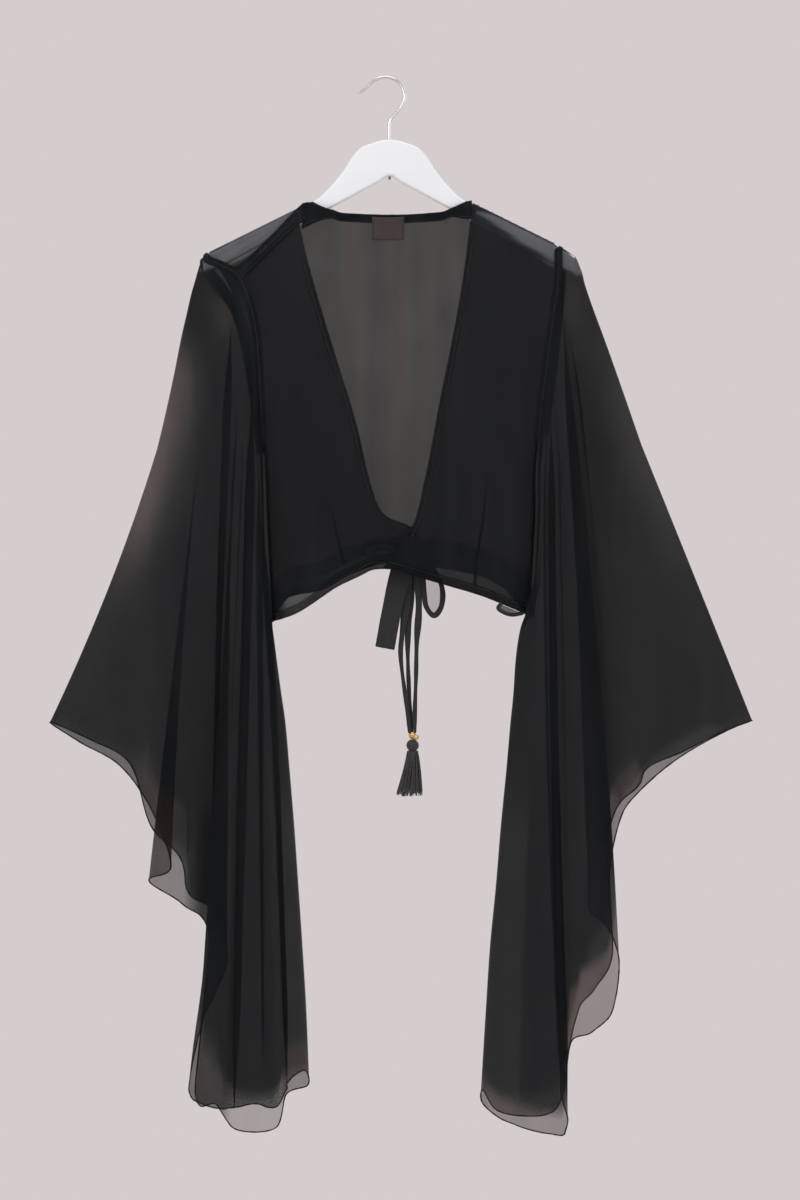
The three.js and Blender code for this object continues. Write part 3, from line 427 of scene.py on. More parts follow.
# a material and the nodes that feed its Principled shader
class Finish:

    def __init__(self, name, **values):
        self.material = bpy.data.materials.new(name)
        self.material.use_nodes = True
        self.tree = self.material.node_tree
        self.shader = self.tree.nodes["Principled BSDF"]
        for label, value in values.items():
            self.shader.inputs[label.replace("_", " ")].default_value = value

    def node(self, kind, settings=None, inputs=None, outputs=None):
        made = addNode(self.tree, kind, settings, inputs)
        found = [made.outputs[o] for o in outputs] if outputs else [o for o in made.outputs if o.enabled]
        return [Socket(self, o) for o in found]

    def feed(self, label, value):
        self.tree.links.new(value.link, self.shader.inputs[label])

    def place(self):
        return self.node("ShaderNodeTexCoord", outputs=["Object"])[0]

    def clothPlace(self):
        return self.node("ShaderNodeUVMap", {"uv_map": "clothUV"})[0]

    def mark(self, name):
        return self.node("ShaderNodeAttribute", {"attribute_name": name}, outputs=["Fac"])[0]

    def parts(self, vector):
        return self.node("ShaderNodeSeparateXYZ", None, [vector])

    def noise(self, vector, scale, detail=2.0, roughness=0.5):
        inputs = {"Vector": vector, "Scale": scale, "Detail": detail, "Roughness": roughness}
        return self.node("ShaderNodeTexNoise", None, inputs, ["Fac"])[0]

    def stretched(self, vector, scale):
        return self.node("ShaderNodeMapping", None, {"Vector": vector, "Scale": scale})[0]

    def blend(self, factor, first, second):
        first, second = (c if isinstance(c, Socket) else (*c, 1) for c in (first, second))
        return self.node("ShaderNodeMix", {"data_type": "RGBA"}, {0: factor, 6: first, 7: second}, [2])[0]

    def relief(self, height, strength, distance):
        inputs = {"Strength": strength, "Distance": distance, "Height": height}
        self.feed("Normal", self.node("ShaderNodeBump", None, inputs)[0])


# Finishes

chiffonLook = {
    "threads": 1500,  # a metre
    "clear": (0.082, 0.040, 0.017),  # lone layer, browned by the light behind it
    "dense": (0.0064, 0.0086, 0.0107),
    # painted light: the back's warm brown stands in for the light coming through its lone layer where the neck shows
    # it
    "brown": (0.0128, 0.0106, 0.0096),  # the back, seen alone through the neck
    # painted light: a paler, bluer tone for the cloth where the white hanger lies behind it
    "overWood": (0.016, 0.021, 0.028),
}
# how much of the light one face stops; the back's value is raised to paint the shade that falls behind the body
cloth = {"back": 0.725, "front": 0.69, "wing": 0.635, "column": 0.675, "onWood": 0.43}


# crossing threads on the cloth, from 0 between them to 1 on them
def weaveOf(finish, threads):
    across, down, _ = finish.parts(finish.clothPlace())
    turn = threads * 2 * math.pi
    wander = finish.noise(finish.clothPlace(), 90, 2) * 1.6
    warp = (across * turn + wander).sine() * 0.5 + 0.5
    weft = (down * turn + wander).sine() * 0.5 + 0.5
    return warp.maths("MAXIMUM", weft)


# sheer cloth: the mark called cover is how much of the light one face of it stops
def chiffonFinish(name, dense, clear):
    finish = Finish(name, Roughness=0.85, Sheen_Weight=0.03, Sheen_Roughness=0.5)
    finish.shader.inputs["Specular IOR Level"].default_value = 0.1
    finish.shader.inputs["Sheen Tint"].default_value = (0.75, 0.8, 0.9, 1)
    weave = weaveOf(finish, chiffonLook["threads"])
    place = finish.clothPlace()
    slubs = finish.noise(finish.stretched(place, (1, 9, 1)), 160, 3, 0.6)
    cloudy = finish.noise(finish.place(), 22, 3, 0.55)
    cover = finish.mark("cover")
    # painted fold light and shade: long upright streaks change how dense the cloth is and, on their high parts, paint
    # a paler lit tone
    hanging = finish.noise(finish.stretched(finish.place(), (1, 0.3, 0.09)), 46, 2, 0.5)
    alpha = cover * (0.80 + weave * 0.14 + slubs * 0.14 + (cloudy - 0.5) * 0.08 + (hanging - 0.5) * 0.16)
    finish.feed("Alpha", alpha.within(0.03, 0.995))
    thick = ((cover - 0.28) / 0.3).within(0, 1)
    tone = finish.blend(thick, clear, dense)
    # painted light: where the wood mark is set, the cloth's colour turns paler, as if lit by the white hanger behind
    # it
    tone = finish.blend(finish.mark("wood"), tone, chiffonLook["overWood"])
    # painted highlight along the upright streaks, for the lit sides of the drape folds
    tone = finish.blend((hanging - 0.42).within(0, 1) * 2.2, tone, (0.0155, 0.0182, 0.0212))
    # a random paler mottle over a tone that already holds the painted light above
    mottledPaintedTone = finish.blend((cloudy - 0.3).within(0, 1) * 0.4, tone, (0.015, 0.014, 0.014))
    finish.feed("Base Color", mottledPaintedTone)
    finish.feed("Roughness", (0.78 + slubs * 0.2).within(0, 1))
    finish.relief(weave * 0.5 + slubs, 0.35, 0.0003)
    return finish.material


# close woven or doubled cloth, such as bands, tapes and ties
def wovenFinish(name, colour, threads, rough=0.8, sheen=0.15):
    finish = Finish(name, Roughness=rough, Sheen_Weight=sheen, Sheen_Roughness=0.4)
    finish.shader.inputs["Specular IOR Level"].default_value = 0.3
    place = finish.place()
    x, _, z = finish.parts(place)
    turn = threads * 2 * math.pi
    thread = (x * turn).sine() * (z * turn).sine() * 0.5 + 0.5
    mottle = finish.noise(place, 120, 3, 0.6)
    dark = tuple(c * 0.6 for c in colour)
    light = tuple(min(1, c * 1.5 + 0.004) for c in colour)
    finish.feed("Base Color", finish.blend((mottle * 0.7 + thread * 0.3).within(0, 1), dark, light))
    finish.feed("Roughness", (rough - 0.08 + mottle * 0.16).within(0, 1))
    finish.relief(thread * 0.6 + mottle * 0.5, 0.4, 0.0003)
    return finish.material


def paintFinish():
    finish = Finish("hanger_wood", IOR=1.5)
    finish.shader.inputs["Coat Roughness"].default_value = 0.25
    place = finish.place()
    grain = finish.noise(finish.stretched(place, (14, 60, 160)), 6, 5, 0.6)
    streak = finish.noise(finish.stretched(place, (4, 40, 60)), 12, 3, 0.5)
    tint = finish.blend((streak * 0.5).within(0, 1), (0.86, 0.915, 0.95), (0.80, 0.83, 0.87))
    finish.feed("Base Color", tint)
    finish.feed("Roughness", (0.36 + grain * 0.2).within(0, 1))
    finish.feed("Coat Weight", (0.25 + streak * 0.2).within(0, 1))
    finish.relief(grain, 0.15, 0.0004)
    return finish.material


def metalFinish(name, colour, rough):
    finish = Finish(name, Metallic=1.0)
    place = finish.place()
    marks = finish.noise(finish.stretched(place, (60, 60, 300)), 20, 4, 0.6)
    smudge = finish.noise(place, 70, 3, 0.6)
    dull = tuple(c * 0.72 for c in colour)
    finish.feed("Base Color", finish.blend((smudge * 0.6).within(0, 1), colour, dull))
    finish.feed("Roughness", (rough + marks * 0.08 + smudge * 0.05).within(0.02, 1))
    finish.relief(marks, 0.05, 0.0001)
    return finish.material


# sewing thread, fringe and cord: fine turns along the piece
def threadFinish(name, colour, sheen):
    finish = Finish(name, Roughness=0.55, Sheen_Weight=sheen)
    place = finish.place()
    twist = finish.noise(finish.stretched(place, (500, 500, 180)), 3, 3, 0.6)
    dark = tuple(c * 0.5 for c in colour)
    light = tuple(c * 1.7 + 0.006 for c in colour)
    finish.feed("Base Color", finish.blend(twist, dark, light))
    finish.feed("Roughness", (0.45 + twist * 0.3).within(0, 1))
    finish.relief(twist, 0.4, 0.0003)
    return finish.material


print("building the finishes")
chiffon = chiffonFinish("chiffon", chiffonLook["dense"], chiffonLook["clear"])
backChiffon = chiffonFinish("chiffon_back", chiffonLook["brown"], chiffonLook["clear"])
band = chiffonFinish("seam_cloth", chiffonLook["dense"], chiffonLook["dense"])
tieCloth = wovenFinish("tie_cloth", (0.021, 0.022, 0.024), 900, sheen=0.25)
labelCloth = wovenFinish("label_cloth", (0.037, 0.030, 0.028), 700, rough=0.7)
sewing = threadFinish("sewing_thread", (0.006, 0.006, 0.007), 0.2)
fringe = threadFinish("tassel_thread", (0.012, 0.012, 0.014), 0.35)
paint = paintFinish()
chrome = metalFinish("hook_metal", (0.78, 0.79, 0.81), 0.10)
screwMetal = metalFinish("screw_metal", (0.16, 0.15, 0.14), 0.4)
gold = metalFinish("bead_gold", (0.86, 0.58, 0.24), 0.18)


# Piece helpers

# gives a finished piece its material, its body and the nodes that it stands for
def dress(obj, material, slot, *nodes):
    obj.data.materials.clear()
    obj.data.materials.append(material)
    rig.ride(obj, "root")
    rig.slot(obj, slot)
    if nodes:
        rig.replaces(obj, *nodes)
    return obj


# a closed skin over rings of points
def shell(name, vertices, sides):
    rings = len(vertices) // sides
    ends = [tuple(range(sides))[::-1], tuple((rings - 1) * sides + k for k in range(sides))]
    return facingOut(meshObject(name, vertices, gridFaces(rings, sides) + ends))


# a closed tube along points; radiusAt takes the share of its length
def tube(name, points, radiusAt, sides=10, flat=1.0):
    points = [Vector(p) for p in points]
    last = len(points) - 1
    tangents = [(points[min(last, i + 1)] - points[max(0, i - 1)]).normalized() for i in range(last + 1)]
    side = Vector((1, 0, 0)) if abs(tangents[0].x) < 0.9 else Vector((0, 0, 1))
    rings = []
    for i, (point, along) in enumerate(zip(points, tangents)):
        side = (side - along * side.dot(along)).normalized()
        other = along.cross(side)
        rings.append((point, side.copy(), other, radiusAt(i / last)))
    for end, way in ((0, -1), (-1, 1)):
        point, a, b, r = rings[end]
        caps = [(point + tangents[end] * way * r * math.sin(t), a, b, r * math.cos(t))
                for t in (0.35, 0.7, 1.05, 1.35)]
        rings = caps[::-1] + rings if way < 0 else rings + caps
    vertices = []
    for point, a, b, r in rings:
        for k in range(sides):
            t = k / sides * 2 * math.pi
            vertices.append(point + a * r * math.cos(t) + b * r * flat * math.sin(t))
    return shell(name, vertices, sides)


# a turned piece round an upright line: rows of radius and height
def ringTurned(name, profile, centre, sides=28):
    vertices = [Vector(centre) + Vector((r * math.cos(k / sides * 2 * math.pi),
                                         r * math.sin(k / sides * 2 * math.pi), z))
                for r, z in profile for k in range(sides)]
    return shell(name, vertices, sides)


# Hanger

hanger = {
    "span": 438, "centre": 6.5, "depth": 12, "rounding": 3.2, "drop": 0.496, "underDrop": 0.535,
    "wire": 1.85,
}
hangerTop = [
    (0, -71.6), (10, -72.6), (20, -75.6), (33.5, -81), (43.5, -91.6), (54.5, -108.5), (67.5, -124.5),
    (82, -139.2), (94.6, -147.3),
]
hangerUnder = [(0, -114), (12, -121)]
hook = [
    (-28.6, -15.6), (-22.3, -11.6), (-12.2, -2.3), (-2.3, 1.8), (7, 1.5), (17.6, -4), (23, -14.1),
    (24.1, -22.3), (18.8, -33.7), (12.4, -41.9), (7.2, -48.5), (5.6, -56.4), (5.9, -64), (6, -73),
]


def hangerTopAt(x):
    out = abs(x - hanger["centre"])
    lastOut, lastZ = hangerTop[-1]
    return lookup(hangerTop, out) if out < lastOut else lastZ - (out - lastOut) * hanger["drop"]


def makeHanger():
    half = hanger["span"] / 2
    endTop = hangerTop[-1][1] - (half - 5 - hangerTop[-1][0]) * hanger["drop"]
    endUnder = hangerUnder[1][1] - (half - 4 - hangerUnder[1][0]) * hanger["underDrop"]
    neck = Path([(-x, z) for x, z in hangerTop[3:0:-1]] + hangerTop[:1] + hangerTop[1:], 6).points
    right = [(p.x, p.z) for p in neck if p.x >= 0]
    right += [(half - 6, endTop), (half - 2.6, endTop - 2.2), (half - 0.7, endTop - 5.5),
              (half, (endTop + endUnder) / 2), (half - 0.6, endUnder + 4.4), (half - 2, endUnder + 1.2),
              (half - 4.6, endUnder + 0.3), (14, -122), (11.5, -120.4), (6, -116.4), (2.4, -114.4)]
    outline = [*right, *[(-x, z) for x, z in reversed(right) if x > 0.01]]
    curve = bpy.data.curves.new("hangerBody", "CURVE")
    curve.dimensions = "2D"
    curve.fill_mode = "BOTH"
    curve.extrude = (hanger["depth"] / 2 - hanger["rounding"]) * mm
    curve.bevel_depth = hanger["rounding"] * mm
    curve.offset = -hanger["rounding"] * mm
    curve.bevel_resolution = 4
    spline = curve.splines.new("POLY")
    spline.points.add(len(outline) - 1)
    for point, (x, z) in zip(spline.points, outline):
        point.co = ((x + hanger["centre"]) * mm, z * mm, 0, 1)
    spline.use_cyclic_u = True
    body = plainMesh(placed(bpy.data.objects.new("hangerBody", curve)))
    for vertex in body.data.vertices:
        x, z, y = vertex.co
        vertex.co = (x, y, z)
    facingOut(body)
    body.data.set_sharp_from_angle(angle=math.radians(28))
    dress(body, paint, "hanger_wood", "hanger_body")

    wire = tube("hangerHook", Path(hook).evenly(90), lambda t: hanger["wire"], 24)
    dress(wire, chrome, "hook_metal", "hanger_hook")
    ferrule = ringTurned("hookFerrule", [(2.0, 0.6), (3.1, 0.5), (3.4, 0), (3.1, -0.9), (2.0, -1.4)],
                         (hanger["centre"] - 0.4, 0, -71.2))
    dress(ferrule, chrome, "hook_metal")
    screw = frame["nodes"]["hanger_screw"].data.materials
    screw.clear()
    screw.append(screwMetal)


# Torso: the outlines of the panels as they hang, seen from the front

body = {
    "overHanger": 7.6, "crest": 2.2, "rows": 56, "columns": 96, "wall": 0.4, "tension": 0.965,
}
backHem = [
    (-131, -633), (-110, -607), (-75, -600), (-40, -581), (5, -568), (54, -572), (113, -583),
    (142, -598), (157, -616), (171, -628),
]
backNeck = [
    (-89, -146.5), (-75, -153), (-46, -157), (7, -159), (66, -156), (89, -151), (103, -146.5),
]
backLeftSide = [
    (-131, -633), (-135, -565), (-138, -500), (-139, -464), (-142, -412), (-150, -353),
    (-164, -283), (-183, -242), (-197, -217), (-205, -205),
]
backRightSide = [
    (171, -628), (175, -565), (178, -506), (178, -464), (183, -412), (193, -342), (200, -271),
    (203, -224), (203, -195),
]
frontLeft = {
    "hem": [
        (-131, -636), (-119, -633), (-99, -625), (-55, -596), (-26, -582), (-14, -576), (5, -575),
        (33, -579), (66, -588),
    ],
    "top": [
        (-166, -228.5), (-143, -204.5), (-122, -184), (-100, -166),
    ],
    "outer": [
        (-131, -636), (-135, -565), (-138, -500), (-139, -464), (-143, -377), (-148, -301),
        (-156, -259), (-166, -228.5),
    ],
    "inner": [
        (66, -588), (50, -551), (33, -527), (2, -513), (-11, -491), (-34, -400), (-63, -306),
        (-87, -224), (-100, -166),
    ],
}
frontRight = {
    "hem": [
        (0, -573), (19, -578), (42, -585), (66, -592), (113, -606), (136, -615), (171, -630),
    ],
    "outer": [
        (171, -630), (175, -565), (178, -506), (178, -464), (184, -377), (196, -283), (202, -224),
        (203, -195),
    ],
    "inner": [
        (0, -573), (13, -554), (34, -524), (48, -471), (66, -377), (89, -259), (100, -178),
        (103, -146.5),
    ],
}
edgeDepth = [
    (0, 0.9), (0.39, 0.9), (0.46, 5), (0.62, 9.5), (0.85, 9.5), (1, 8),
]
backDepth = [
    (0, 13), (0.3, 17), (0.7, 15), (0.93, 9), (1, 7.6),
]
frontDepth = [
    (0, 15), (0.3, 18), (0.7, 15), (0.93, 9.2), (1, 8.4),
]

# Hanging folds: where across, how wide, how deep, from and to which height
backFolds = [
    (0.2, 0.04, 2.2, 0.05, 0.8), (0.33, 0.035, -2.4, 0.2, 0.95), (0.42, 0.03, 2.6, 0.1, 0.95),
    (0.53, 0.05, -2, 0.15, 0.98), (0.66, 0.04, 2, 0.1, 0.9), (0.8, 0.04, -2, 0.05, 0.8),
]
frontLeftFolds = [
    (0.24, 0.07, 2.2, -0.1, 0.7), (0.42, 0.06, -2.6, 0, 0.9), (0.6, 0.07, 2.4, -0.1, 0.8),
]
frontRightFolds = [
    (0.3, 0.07, 2, -0.1, 0.75), (0.55, 0.06, -2, 0, 0.9), (0.76, 0.06, 1.8, -0.1, 0.7),
]


def foldRelief(folds, u, v):
    relief = 0
    for place, width, depth, low, high in folds:
        fade = ease(low, low + 0.15, v) * (1 - ease(high - 0.2, high, v))
        relief += depth * bump(place, width, u) * fade
    return relief


# a point inside four boundary curves of x and z
def patch(hem, top, left, right, u, v):
    h, t, a, b = hem(u), top(u), left(v), right(v)
    corners = [hem(0), hem(1), top(0), top(1)]
    point = []
    for k in (0, 1):
        p, q, r, s = (c[k] for c in corners)
        ruled = (1 - u) * (1 - v) * p + u * (1 - v) * q + (1 - u) * v * r + u * v * s
        point.append(mix(h[k], t[k], v) + mix(a[k], b[k], u) - ruled)
    return point


def curveOf(rows):
    path = Path(rows)
    return lambda share: path.at(share).xz


def backTop(u):
    x = mix(-205, 203, u)
    if backNeck[0][0] <= x <= backNeck[-1][0]:
        return (x, smoothRows(backNeck, x))
    return (x, hangerTopAt(x) + body["crest"])


def backHemAt(u):
    x = mix(-131, 171, u)
    return (x, smoothRows(backHem, x))


def panelDepth(middle, folds, u, v, nearSide):
    inside = ease(0, 0.2, nearSide)
    return mix(smoothRows(edgeDepth, v), smoothRows(middle, v), inside) + foldRelief(folds, u, v) * inside


forwardSeam = ((-205, -168, -226.5), (-89, -89, -147))
crestPath = [
    (8, -16), (7.6, -6.6), (6.9, -3.6), (5.6, -1.9), (2.8, -0.7), (0, 0), (-2.8, -0.7), (-5.6, -1.9),
    (-6.9, -3.6), (-7.6, -6.6),
]
behindNeck, onRidge, atForwardSeam = 1, 4.85, 11
topReach = [
    (-96, 11), (-94, 9), (-91.5, 7), (-89, 5), (-86.5, 3), (-83, 1), (97, 1), (100.5, 3), (103, 4.85),
]


def crestPoint(x, ridgeZ, place, seam=None):
    last = len(crestPath) - 1
    if place <= last:
        i = min(last - 1, int(place))
        t = place - i
        (y0, z0), (y1, z1) = crestPath[i], crestPath[i + 1]
        return Vector((x, mix(y0, y1, t), ridgeZ + mix(z0, z1, t)))
    t = (place - last) / (atForwardSeam - last)
    z = ridgeZ + crestPath[last][1]
    return Vector((mix(x, seam[0], t), -body["overHanger"] - 0.8 * t, mix(z, seam[1], t)))


# small creases: from a point to a point, how deep, how wide
def creases(x, z, lines):
    depth = 0
    for (x0, z0), (x1, z1), height, width in lines:
        dx, dz = x1 - x0, z1 - z0
        length = math.hypot(dx, dz)
        along = ((x - x0) * dx + (z - z0) * dz) / length
        off = ((x - x0) * dz - (z - z0) * dx) / length
        if -width < along < length + width and abs(off) < 3 * width:
            fade = ease(-width, width * 1.5, along) * (1 - ease(length - width * 1.5, length + width, along))
            depth += height * math.exp(-(off / width) ** 2) * fade
    return depth


backLines = [
    ((-40, -205), (-33, -330), 1.6, 5), ((-22, -200), (-18, -300), -1.4, 5), ((-36, -350), (-24, -440), 1.5, 4),
    ((20, -190), (26, -380), 1.8, 6), ((48, -180), (40, -330), -1.6, 6), ((70, -190), (60, -300), 1.2, 5),
    ((-120, -480), (-60, -560), 1.4, 7), ((160, -480), (110, -560), 1.3, 7), ((0, -470), (4, -555), -1.5, 6),
    ((-150, -300), (-110, -420), 1.5, 8), ((180, -290), (150, -420), -1.5, 8),
]
leftLines = [
    ((-85, -260), (-98, -545), 2.2, 6), ((-68, -265), (-84, -530), -1.8, 5),
    ((-112, -300), (-118, -470), 1.2, 5),
    ((-141, -464), (-118, -508), 2.2, 3), ((-139, -470), (-108, -540), -1.4, 4),
    ((-132, -480), (-122, -600), 1.6, 4),
    ((-52, -330), (-30, -470), 1.3, 5), ((-45, -520), (-20, -575), 1.4, 6), ((10, -520), (20, -572), -1.4, 6),
    ((-100, -235), (-92, -330), -1.2, 4), ((-126, -225), (-131, -300), 1.0, 4),
]
rightLines = [
    ((178, -470), (152, -520), 2.2, 3), ((177, -478), (140, -545), -1.4, 4), ((172, -490), (165, -605), 1.5, 4),
    ((150, -240), (142, -420), 1.6, 6), ((125, -230), (118, -400), -1.5, 5), ((172, -260), (164, -400), 1.1, 5),
    ((92, -280), (78, -420), 1.2, 5), ((60, -520), (36, -575), 1.5, 6), ((96, -480), (88, -590), -1.4, 6),
    ((128, -440), (120, -580), 1.3, 6), ((148, -205), (146, -238), 1.1, 2.5),
    ((130, -196), (127, -226), -1, 2.5),
    ((114, -186), (110, -214), 1, 2.2), ((166, -214), (165, -240), -0.9, 2.5),
]


def backColumn(u):
    rows, over = body["rows"], 33
    points = []
    for j in range(rows):
        v = (j / rows) * body["tension"]
        x, z = patch(backHemAt, backTop, backLeftAt, backRightAt, u, v)
        nearSide = min(u, 1 - u)
        y = panelDepth(backDepth, backFolds, u, v, nearSide)
        points.append(Vector((x, y + creases(x, z, backLines) * ease(0, 0.1, nearSide), z)))
    x, z = backTop(u)
    reach = lookup(topReach, x)
    ridgeZ = hangerTopAt(x) + body["crest"] if reach > behindNeck else z - crestPath[1][1]
    (x0, seamX0, seamZ0), (x1, seamX1, seamZ1) = forwardSeam
    share = clamp((x - x0) / (x1 - x0))
    seam = (mix(seamX0, seamX1, share), mix(seamZ0, seamZ1, share))
    return points + [crestPoint(x, ridgeZ, k * reach / over, seam) for k in range(over + 1)]


def frontPanel(outline, topAt, folds, lines, sideFirst, edgeCloth):
    hemAt = curveOf(outline["hem"])
    outerAt = curveOf([*outline["outer"][:-1], topAt(0 if sideFirst else 1)])
    innerAt = curveOf([*outline["inner"][:-1], topAt(1 if sideFirst else 0)])
    leftAt, rightAt = (outerAt, innerAt) if sideFirst else (innerAt, outerAt)

    def pointAt(u, v):
        x, z = patch(hemAt, topAt, leftAt, rightAt, u, v)
        side = u if sideFirst else 1 - u
        y = panelDepth(frontDepth, folds, u, v, side) + edgeCloth(side, v)
        soft = ease(0, 0.06, side) * (1 - ease(0.9, 1, v))
        return Vector((x, -y - creases(x, z, lines) * soft, z))
    return pointAt


def leftTopAt(u):
    x = mix(-166, -100, u)
    return (x, lookup(frontLeft["top"], x))


def rightTopAt(u):
    x = mix(103, 203, u)
    return (x, hangerTopAt(x) + body["crest"])


def stationsOf(columns, start, width, extra=()):
    even = {round(i / columns, 5) for i in range(columns + 1)}
    return sorted(even | {round((x - start) / width, 5) for x in extra})


def gridOf(stations, columnAt):
    lines = [columnAt(u) for u in stations]
    return [[line[j] for line in lines] for j in range(len(lines[0]))]


backLeftAt = curveOf([*backLeftSide[:-1], backTop(0)])
backRightAt = curveOf([*backRightSide[:-1], backTop(1)])
frontLeftAt = frontPanel(
    frontLeft, leftTopAt, frontLeftFolds, leftLines, True,
    lambda side, v: -5.5 * ease(0.5, 0.95, side) * (1 - ease(0.1, 0.35, v)))
frontRightAt = frontPanel(
    frontRight, rightTopAt, frontRightFolds, rightLines, False,
    lambda side, v: 1.5 * ease(0.5, 0.9, side) * (1 - ease(0.1, 0.3, v)))


def frontRightColumn(u):
    rows = body["rows"]
    points = [frontRightAt(u, (j / rows) * body["tension"]) for j in range(rows)]
    x, z = rightTopAt(u)
    over = [crestPoint(x, z, k * onRidge / 12) for k in range(13)]
    return points + [Vector((p.x, -p.y, p.z)) for p in over]


print("shaping the body")
neckStations = [x for x, _ in topReach] + [-95, -93, -90.3, -87.8, -84.7, 98.5, 99.5, 101.6]
backGrid = gridOf(stationsOf(body["columns"], -205, 408, neckStations),
                  backColumn)
frontLeftGrid = gridOf(stationsOf(72, 0, 1), lambda u: [
    frontLeftAt(u, j / (body["rows"] + 8)) for j in range(body["rows"] + 9)])
frontRightGrid = gridOf(stationsOf(72, 0, 1), frontRightColumn)


# the hanger's upper and under line where it shows through the shoulders, left and right
woodLeft = [(-212, -206, -226), (-193, -199, -222), (-169, -184, -215), (-146, -169, -201), (-122, -158, -184),
            (-99, -150, -164)]
woodRight = [(112, -157, -160), (136, -161, -176), (160, -170, -192), (192, -189, -214), (207, -196, -222),
             (226, -212, -230)]


# how much of the white hanger shows through at this point, from 0 to 1
def overWood(p):
    rows = woodLeft if p.x < 0 else woodRight
    if abs(p.y) > 16 or not rows[0][0] - 4 < p.x < rows[-1][0] + 6:
        return 0
    high = lookup([(x, top) for x, top, _ in rows], p.x)
    low = lookup([(x, under) for x, _, under in rows], p.x)
    return ease(-2.5, 2.5, min(high + 1 - p.z, p.z - low))


def coverOf(grid, rule):
    return [[rule(p, j / (len(grid) - 1)) for p in line] for j, line in enumerate(grid)]


def frontCover(p, v):
    cover = mix(cloth["front"], 0.88, ease(0.12, 0.07, v) * max(ease(10, 60, p.x), ease(-112, -122, p.x)))
    return mix(cover, cloth["onWood"], overWood(p))


# painted shade: the back is made denser than the fronts to stand for the shade behind the body; it gets a little
# denser towards the bottom, and thin where the hanger lies behind it
def backCover(p, _):
    return mix(cloth["back"] + 0.03 * ease(-300, -500, p.z), cloth["onWood"], overWood(p))


def panel(name, grid, cover, finish, wall, node, closed=False):
    # the wood mark says where the cloth's colour takes the painted light of the white hanger behind it
    wood = [[overWood(p) for p in line] for line in grid]
    piece = clothFromGrid(name, grid, finish, wall, closed, marks={"cover": cover, "wood": wood})
    return dress(piece, finish, "chiffon", node)


def makeTorso():
    return {name: panel(full, grid, coverOf(grid, rule), finish, body["wall"], node)
            for name, full, grid, rule, finish, node in (
                ("back", "backPanel", backGrid, backCover, backChiffon, "back"),
                ("frontLeft", "frontLeft", frontLeftGrid, frontCover, chiffon, "front_left"),
                ("frontRight", "frontRight", frontRightGrid, frontCover, chiffon, "front_right"))}


# Sleeves: the armhole ring from the shoulder down the front, under the arm and up the back, then
# a row for each fold line: where it leaves the ring, where its hem hangs, its sideways bow, how
# much of its place is a fold that opens towards the hem, and how far it follows the body's side

